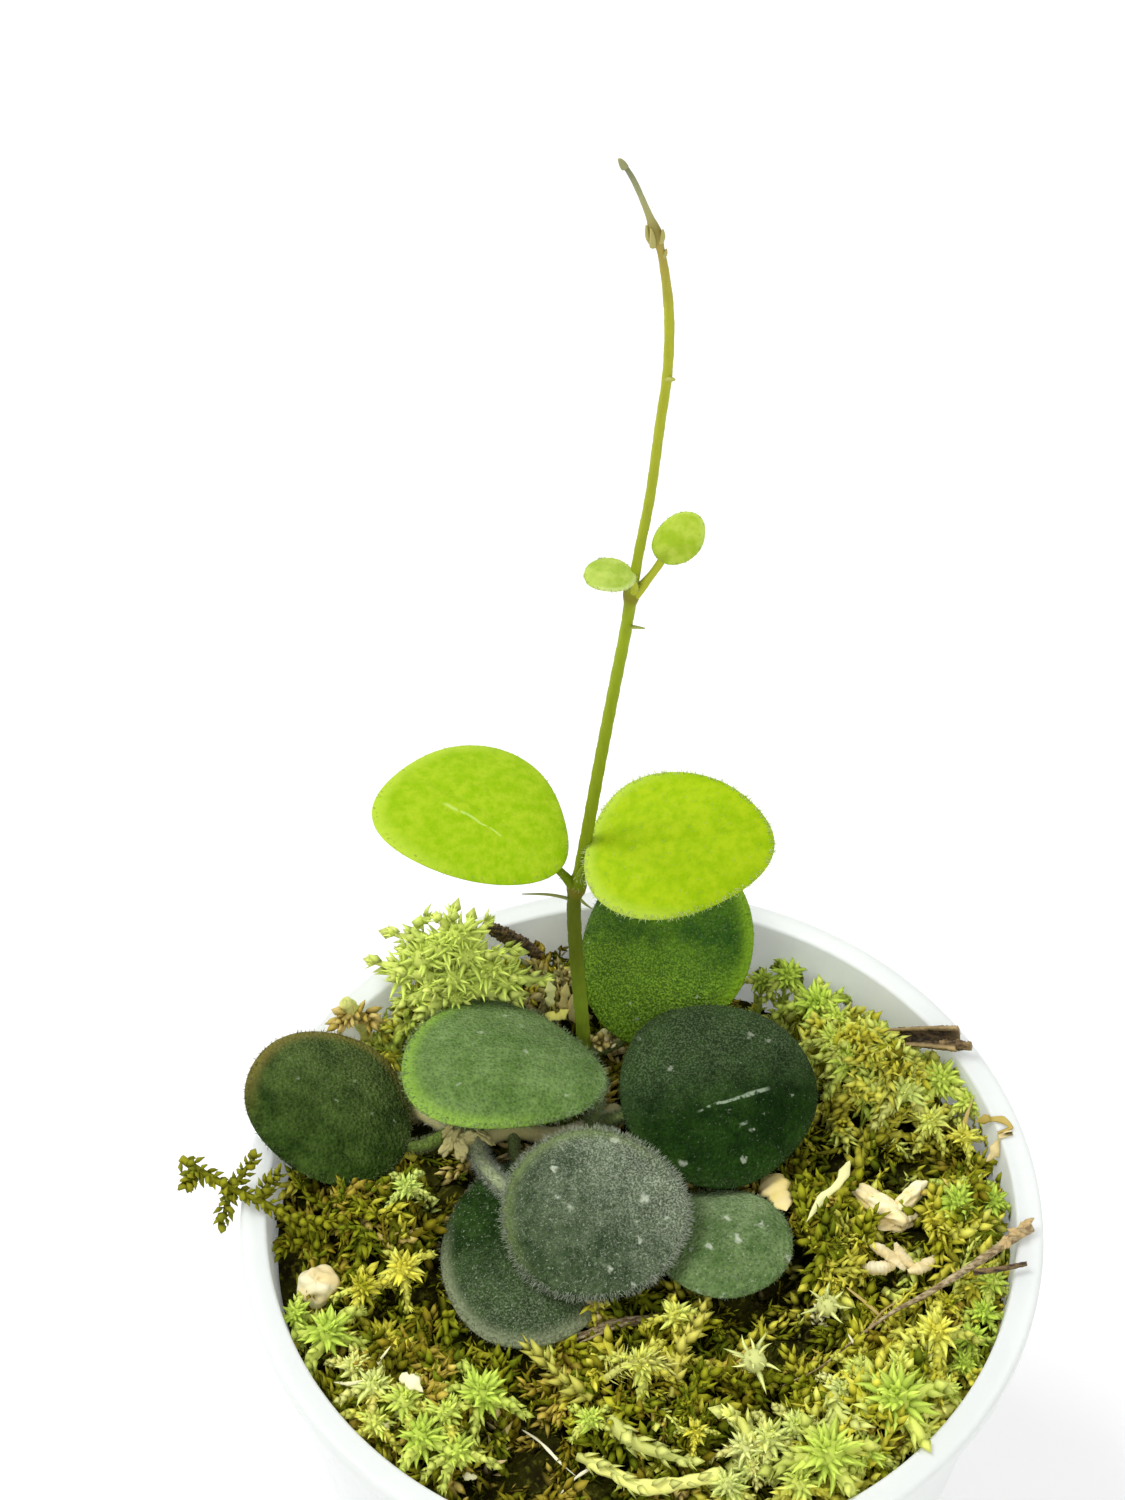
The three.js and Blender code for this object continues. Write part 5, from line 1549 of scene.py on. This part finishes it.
LEAF_LOOKS = {
    "leaf_young_left": look(
        (142, 182, 6), (164, 194, 32), (180, 206, 60), (206, 222, 130), rim_side=(1, 0.3),
        stalk=shade(112, 132, 18), marks=[(-0.5, 0.32, 0.19, 0, 0.03, 0.5)], **YOUNG),
    "leaf_young_right": look(
        (146, 182, 2), (166, 194, 20), (184, 208, 72), (216, 228, 160), rim_side=(-1, 0),
        stalk=shade(112, 132, 18), **YOUNG),
    "leaf_green_back": look(
        (38, 78, 0), (66, 106, 0), (124, 164, 26), (142, 180, 50), gloss=0.24, shine=0.14, beads=0.6,
        rim_side=(0, -1), dust=(-1.6, 0, 0.75), flecks=0.2),
    "leaf_pale_mid": look(
        (92, 124, 56), (118, 148, 80), (150, 188, 74), (172, 192, 148), rim_side=(0.7, 0.5),
        dust=(0, -0.6, 0.5), flecks=0.25),
    "leaf_left": look(
        (34, 58, 8), (66, 90, 30), (128, 118, 56), (142, 154, 104), rim_side=(0.5, -0.8),
        dust=(0, -0.6, 0.4), flecks=0.25, stalk=shade(122, 146, 66)),
    "leaf_right": look(
        (12, 40, 0), (34, 64, 10), (62, 88, 40), (118, 138, 98), dust=(0, 1.6, 0.5), flecks=0.3,
        blots=0.07, marks=[(-0.32, 0.5, -0.16, 0.12, 0.034, 0.8), (0.05, 0.2, -0.42, 0, 0.03, 0.9)]),
    "leaf_under_right": look((24, 50, 16), (48, 74, 32), (62, 88, 40), (120, 140, 100)),
    "leaf_front": look(
        (44, 64, 34), (76, 94, 60), (118, 136, 80), (188, 196, 174), dust=(0.3, 0.5, 0.7),
        flecks=0.9, blots=0.16, rim_side=(-0.6, 0.4), stalk=shade(188, 200, 150)),
    "leaf_lower_left": look(
        (24, 50, 8), (46, 74, 24), (150, 158, 124), (150, 162, 130), dust=(1.2, 0, 0.36),
        rim_side=(1, -0.4), flecks=0.75),
    "leaf_lower_right": look(
        (84, 112, 58), (116, 140, 86), (116, 144, 86), (164, 178, 146), dust=(-0.5, 0.6, 0.4),
        flecks=0.8, blots=0.17),
    "leaf_tip_left": look(
        (156, 182, 66), (180, 200, 92), (206, 222, 140), (206, 216, 150), rim_side=(-1, 0.5),
        stalk=shade(176, 182, 54), **YOUNG),
    "leaf_tip_right": look(
        (150, 178, 36), (176, 196, 70), (190, 212, 100), (206, 216, 150), rim_side=(1, 0),
        stalk=shade(176, 182, 54), **YOUNG),
}


def make_leaves():
    """Each leaf is a blade with its down, its fringe and its stalk."""
    for number, (name, tones) in enumerate(LEAF_LOOKS.items()):
        random = np.random.default_rng(SEEDS["leaves"] + number)
        blade = Blade(name)
        down = LEAF_DOWN[name]
        shell = Shell()
        add_blade(shell, blade)
        add_down(shell, blade, down, random)
        add_fringe(shell, blade, down, random)
        add_stalk(shell, blade, down, random)
        part = name.replace("leaf_", "")
        shell.piece(part + "_leaf_with_stalk", leaf_finish(part + "_leaf_skin", tones), [name])


# Bark, twigs and chips

RUNNER_ROUTE = [
    (-51.8, 0.2, 3), (-49.5, -1, 2.3), (-45.3, -2.9, 1.7), (-42, -4.2, 1.5), (-39, -5.2, 0.3),
    (-36, -5.2, -0.5), (-33, -4.8, -0.2),
]
RUNNER_BRANCHES = [
    [(-45.6, -2.8, 1.9), (-44.6, -1.6, 3), (-43.4, 0.2, 4)],
    [(-46, -2.6, 1.6), (-46.2, -4.2, 0.6), (-46.6, -6, -0.4)],
    [(-42.6, -4, 1.8), (-41.6, -2.6, 2.6), (-40.4, -1.4, 3.2)],
    [(-49.6, -1, 2.4), (-50.2, -2, 2.6), (-50.6, -3, 2.4)],
]
FRONT_STALK_ROUTE = [
    (-5.6, -30.6, -3.2), (-2, -32.6, -2.4), (1, -34.3, -2.1), (4.7, -33.8, -2.1), (9.4, -32.4, -2.4),
]
STUB_ROUTE = [(-33.2, 23.2, -5.6), (-34.2, 22.5, 0), (-35.6, 21.3, 5.6)]
STUB_LEAFLETS = [
    [(-35, 21.6, 2.5), (-35.2, 20.6, 3.4), (-36, 19.6, 3.6)],
    [(-34.6, 22.2, 1.5), (-33.4, 21.6, 2.4), (-32.6, 21, 2.2)],
]
LONG_TWIG_ROUTE = [
    (43.2, -2.6, 0.95), (40.5, -4.6, 0.6), (36.9, -7.4, 0.4), (31.5, -10.6, -1.2), (28, -12.2, -2.4),
    (24, -15, -3.6), (20, -18.4, -4.2), (16, -20.5, -4.7),
]
LONG_TWIG_KNOTS = ((41.6, -3.8, 1.3), (40.3, -5, 1.1), (42.6, -2.8, 1.4))
THIN_TWIG_ROUTE = [(36.6, -8.9, 1.1), (39.5, -8.4, 1.2), (42.4, -7.6, 1.2)]
FIBROUS_ROUTE = [(-6.5, -15.5, -5.73), (-2, -13.6, -5.69), (3, -12.4, -6.04), (8, -12.6, -6.04)]
STRIP_ROUTE = [(-20.6, 37.1, 1.2), (-17.6, 36.5, -0.1), (-13.4, 35.3, -2.3)]
BARK_ENDS = np.array([[27.2, 24.4, -1.6], [36.4, 22.0, 2.0]])
BARK_ARCH = 0.25
BARK_CURL = (-208, 28)
BARK_RADII = (1.4, 0.95)
SPLINTER_ROUTE = [(34.6, 21.9, 0.9), (36.2, 21.5, 1.5), (38, 21.0, 2.0)]
# Lumps of the forked flake: centre, half sizes, turn, roughness and notes; the low third lump is the
# underside, a little bare and darker in painted shade
FORKED_FLAKE = [
    ((27.2, 2.0, -3.2), (3.4, 1.25, 1.1), (-38, 4, 0), 0.14, (1, 1, 0)),
    ((30.6, 3.2, -2.9), (2.2, 1.0, 1.0), (42, 12, 0), 0.14, (1, 1, 0)),
    ((29, 0.6, -4.0), (2.2, 1.3, 0.6), (10, 0, 0), 0.18, (0.8, 0.6, 0.1)),
]
# Route and half width of each low flake
LOW_FLAKES = [
    ([(25.6, -3.4, -2.6), (27.6, -5, -2.2), (29.6, -6.8, -2.4)], 0.55),
    ([(28.6, -3.6, -2.2), (29.2, -5.2, -2), (30.8, -7, -2.2)], 0.5),
    ([(29.8, -7.4, -1.8), (31.6, -6.6, -1.8), (33, -5.2, -2)], 0.6),
    ([(25, -6.6, -2.6), (26.6, -7, -2), (28.4, -6.6, -2.2)], 0.75),
]


def add_rod(shell, route, radii, random, sides=12, steps=70, rough=0.1, flat=1.0, bare=0.0, chance=0.5):
    """A rod whose radius runs through the given radii, with ridges round it and small bumps."""
    path = smooth_path(route, steps)
    share = np.linspace(0, 1, steps)
    girth = np.interp(share, np.linspace(0, 1, len(radii)), radii)
    girth = girth * (1 + rough * np.sin(share * 37) * np.sin(share * 91 + 1))
    points, triangles, along = tubes(path[None], girth[None], sides, flat)
    points = points + random.normal(0, rough * 0.3 * girth.mean(), points.shape)
    shade_of = random.uniform(0.4, 1.0, points.shape[:2])
    shell.add(points, triangles, stack(shade_of, chance, np.clip(bare * np.abs(2 * along - 1) ** 3, 0, 1)))


def add_lump(shell, centre, halves, turn, random, rough, notes, sides=28, rows=18):
    """A chip of wood: an ellipsoid turned into place, its radius changed by three sines."""
    polar = np.linspace(0, math.pi, rows + 2)[1:-1, None]
    angle = np.linspace(0, 2 * math.pi, sides, endpoint=False)[None]
    phase = random.uniform(0, 6, 3)
    knobs = np.sin(2 * angle + 3 * polar + phase[0]) + 0.7 * np.sin(5 * angle - 4 * polar + phase[1])
    knobs = knobs + 0.5 * np.sin(9 * polar + phase[2])
    level = np.sin(polar)
    ball = np.stack([level * np.cos(angle), level * np.sin(angle), -np.cos(polar) + 0 * angle], -1)
    ball = ball * (1 + rough * knobs)[..., None] * halves
    points = np.concatenate([[[0, 0, -halves[2]]], ball.reshape(-1, 3), [[0, 0, halves[2]]]])
    shell.add(points @ turn_matrix(*turn).T + centre, capped_grid(rows, sides), notes)


def folded_grid(rows, columns):
    """Triangles of a strip folded back on itself: each row runs out and back, and both ends are closed."""
    around = 2 * columns
    ring = np.arange(around)
    start = np.arange(rows - 1)[:, None] * around
    a, b = start + ring, start + (ring + 1) % around
    walls = np.stack([a, b, b + around, a, b + around, a + around], -1).reshape(-1, 3)
    low = np.arange(columns - 1)
    high = around - 1 - low
    cap = np.concatenate([np.stack([low, high, low + 1], -1), np.stack([low + 1, high, high - 1], -1)])
    far = cap[:, ::-1] + (rows - 1) * around
    return np.concatenate([walls, cap, far])


def add_bark_tube(shell, random):
    """A curl of bark: two arcs, one inside the other, carried along a slightly arched line."""
    rows, columns = 60, 40
    share = np.linspace(0, 1, rows)
    low, high = BARK_ENDS
    path = low + (high - low) * share[:, None] + (0, 0, BARK_ARCH) * np.sin(math.pi * share)[:, None]
    _, side, top = (values[0] for values in frames(path[None], np.array([0.0, -0.5, 0.9])))
    bend = np.radians(np.linspace(*BARK_CURL, columns))
    ragged = 1 + 0.05 * np.sin(23 * bend) + 0.03 * random.normal(size=(rows, columns))
    turn = np.concatenate([bend, bend[::-1]])
    outer, inner = BARK_RADII
    radius = np.concatenate([outer * ragged, inner * ragged[:, ::-1]], axis=1)
    radius = radius * (0.62 + 0.45 * share)[:, None]
    spoke = np.cos(turn)[:, None] * side[:, None] + np.sin(turn)[:, None] * top[:, None]
    points = path[:, None] + radius[..., None] * spoke
    # The inner face gets a low depth note, so it is darker: painted shade inside the curl.
    depth = np.repeat([0.9, 0.2], columns)[None]
    lips = np.abs(np.linspace(-1, 1, columns)) > 0.86
    bare = np.clip((share - 0.86) * 5, 0, 0.8)[:, None] + 0.6 * np.concatenate([lips, lips[::-1]])
    shell.add(points, folded_grid(rows, columns), stack(depth, 0.1, bare))


def make_twigs(bark, twig, random):
    """The long twig with its knots, the thin one, the dark strip and the bundle of fibres."""
    shell = Shell()
    add_rod(shell, LONG_TWIG_ROUTE, (0.75, 0.5, 0.42, 0.34, 0.22, 0.14, 0.1, 0.08), random, bare=0.3)
    for centre in LONG_TWIG_KNOTS:
        turn = (random.uniform(0, 180), 20, 0)
        add_lump(shell, centre, (0.9, 0.5, 0.4), turn, random, 0.25, (0.9, 0.8, 0.9), 16, 10)
    shell.piece("long_twig", twig, ["twig_long"])
    shell = Shell()
    add_rod(shell, THIN_TWIG_ROUTE, (0.35, 0.32, 0.26), random)
    shell.piece("thin_twig", bark, ["twig_thin"])
    shell = Shell()
    # The low chance darkens the strip: partly its own dark bark, partly painted shade.
    add_rod(shell, STRIP_ROUTE, (0.9, 1.3, 1.3, 0.8), random, flat=0.45, rough=0.12, chance=-0.6)
    shell.piece("dark_bark_strip", bark, ["bark_strip"])
    shell = Shell()
    for _ in range(9):
        shift = random.normal(0, 0.42, (4, 3)) * (1, 1, 0.5)
        route = np.array(FIBROUS_ROUTE) + shift + (0, 0, 0.5)
        add_rod(shell, route, (0.12, 0.24, 0.22, 0.08), random, 6, 40)
    shell.piece("fibrous_twig", twig, ["twig_fibrous"])


def make_curled_bark(bark, random):
    """The curl of bark and the splinter that stands out of it."""
    shell = Shell()
    add_bark_tube(shell, random)
    add_rod(shell, SPLINTER_ROUTE, (0.7, 0.8, 0.65), random, 10, 24, 0.16, 0.7, 0.4)
    shell.piece("curled_bark", bark, ["bark_tube"])


def make_flakes(pale, random):
    """The forked flake, the low flakes and the round chip."""
    shell = Shell()
    for centre, halves, turn, rough, notes in FORKED_FLAKE:
        add_lump(shell, centre, halves, turn, random, rough, notes)
    shell.piece("forked_flake", pale, ["wood_flake_forked"])
    shell = Shell()
    for route, half in LOW_FLAKES:
        radii = (0.5 * half, 1.3 * half, 1.2 * half, 0.5 * half)
        add_rod(shell, route, radii, random, 10, 24, 0.14, 0.8)
    shell.piece("low_flakes", pale, ["wood_flake_low"])
    shell = Shell()
    add_lump(shell, (-35.4, -11.2, -3.9), (2.2, 2.3, 1.7), (20, 10, 8), random, 0.1, (1, 0.2, 0))
    shell.piece("round_chip", pale, ["wood_chip_round"])


def make_wood(bark, twig, pale):
    """All the loose wood, which shares one row of random numbers."""
    random = np.random.default_rng(SEEDS["wood"])
    make_twigs(bark, twig, random)
    make_curled_bark(bark, random)
    make_flakes(pale, random)


def make_runner(material, random):
    """The leafy runner that hangs over the rim, with its side branches."""
    shell = Shell()
    clad = dict(PLUMP, count=60, leaf=1.5, broad=1.3, spread=48, core=0.5, taper=0.1)
    shoots(shell, smooth_path(RUNNER_ROUTE, 24)[None], 0.56, clad, random, 0.0, 0.12, held=False)
    branches = np.stack([smooth_path(route, 8) for route in RUNNER_BRANCHES])
    clad = dict(clad, count=16, leaf=1.4, core=0.4)
    shoots(shell, branches, 0.57, clad, random, 0.0, 0.22, held=False)
    shell.piece("runner_over_rim", material, ["moss_runner_left"])


def make_pale_stalk(material, random):
    """The thick pale stalk at the front, with leaves along it and two heads at its end."""
    shell = Shell()
    path = smooth_path(FRONT_STALK_ROUTE, 30)
    share = np.linspace(0, 1, 30)
    width = 0.75 * np.clip(3 * share**0.6, 0.1, 1)
    width = width * (1 + 0.15 * np.sin(share * 14) + 0.1 * np.sin(share * 41))
    points, triangles, _ = tubes(path[None], width[None], 10, 0.55, np.array([0.0, -0.3, 0.95]))
    add_moss(shell, points, triangles, 0.7, 0.6, 0.35, 0.2, lowest=0.9)
    shoots(shell, path[None], 0.33, dict(SPIKY, count=26, spread=24), random, 0.15, lowest=0.8)
    for centre in ((12.6, -31.3, -3), (10, -33.4, -2.4)):
        rosette(shell, centre, 2.2, 0.24, random, bleached=0.2)
    shell.piece("pale_moss_stalk", material, ["moss_stalk_front"])


def make_stub(material, random):
    """The cut stub at the back left, with two leafy sprigs and a small head at its foot."""
    shell = Shell()
    girth = np.interp(np.linspace(0, 1, 40), (0, 0.5, 0.85, 0.95, 1), (0.6, 0.85, 0.95, 0.75, 0.2))
    points, triangles, _ = tubes(smooth_path(STUB_ROUTE, 40)[None], girth[None], 12)
    points = points + random.normal(0, 0.05, points.shape)
    add_moss(shell, points, triangles, 0.5, random.uniform(size=(1, points.shape[1])), 0.3, 0.2, 0.12)
    leaflets = np.stack([smooth_path(route, 8) for route in STUB_LEAFLETS])
    shoots(shell, leaflets, 0.82, dict(PLUMP, count=14), random, brown=0.25)
    rosette(shell, (-33, 23.2, -1.2), 2.1, 0.78, random, (0.0, -0.3))
    shell.piece("cut_moss_stub", material, ["moss_stub_back_left"])


def make_moss_rods(material):
    """The moss pieces with a shape of their own, which share one row of random numbers."""
    random = np.random.default_rng(SEEDS["moss_rods"])
    make_runner(material, random)
    make_pale_stalk(material, random)
    make_stub(material, random)


# Floor, lamps and the background, in metres

FLOOR_HALF = 3.0
FLOOR_TONE = (0.93, 0.93, 0.93, 1.0)
SKY_TONE = (1.0, 1.0, 1.0, 1.0)
SKY_STRENGTH = 0.72
# Place, size and power of each lamp
LAMPS = [((-0.4, 0.1, 0.8), 0.35, 3.8), ((0.3, -0.55, 0.7), 0.5, 1.2)]
LAMPS_AIM = Vector((0, 0, 0.08))


def add_floor():
    """A pale square floor that glows a little."""
    mesh = bpy.data.meshes.new("floor")
    half = FLOOR_HALF
    corners = [(-half, -half, 0), (half, -half, 0), (half, half, 0), (-half, half, 0)]
    mesh.from_pydata(corners, [], [(0, 1, 2, 3)])
    finish = Finish("pale_floor")
    mesh.materials.append(finish.finish(FLOOR_TONE, 0.9, Emission_Color=FLOOR_TONE, Emission_Strength=0.15))
    floor = bpy.data.objects.new("floor", mesh)
    bpy.context.scene.collection.objects.link(floor)


def add_lamps():
    """The main lamp at the upper left, and a weaker one at the front right."""
    for place, size, power in LAMPS:
        lamp = bpy.data.lights.new("lamp", "AREA")
        lamp.size = size
        lamp.energy = power
        made = bpy.data.objects.new("lamp", lamp)
        made.location = place
        made.rotation_euler = (LAMPS_AIM - Vector(place)).to_track_quat("-Z", "Y").to_euler()
        bpy.context.scene.collection.objects.link(made)


def set_stage():
    """The floor under soft even light and two lamps."""
    add_floor()
    world = bpy.data.worlds.new("soft_light")
    bpy.context.scene.world = world
    world.use_nodes = True
    background = world.node_tree.nodes["Background"]
    background.inputs["Color"].default_value = SKY_TONE
    background.inputs["Strength"].default_value = SKY_STRENGTH
    add_lamps()
    bpy.context.scene.view_settings.view_transform = "Standard"


make_pot(plastic_finish())
make_medium(medium_finish())
living_moss = moss_finish()
make_bed_moss(living_moss, bed_finish())
make_moss(living_moss)
make_moss_rods(living_moss)
make_leaves()
make_stems()
make_wood(wood_finish("bark", shade(52, 38, 22), shade(142, 116, 74), 0.5),
          wood_finish("dry_twig", shade(128, 104, 66), shade(206, 188, 146), 0.4),
          wood_finish("pale_wood", shade(244, 222, 160), shade(255, 246, 206), 2.2))
set_stage()
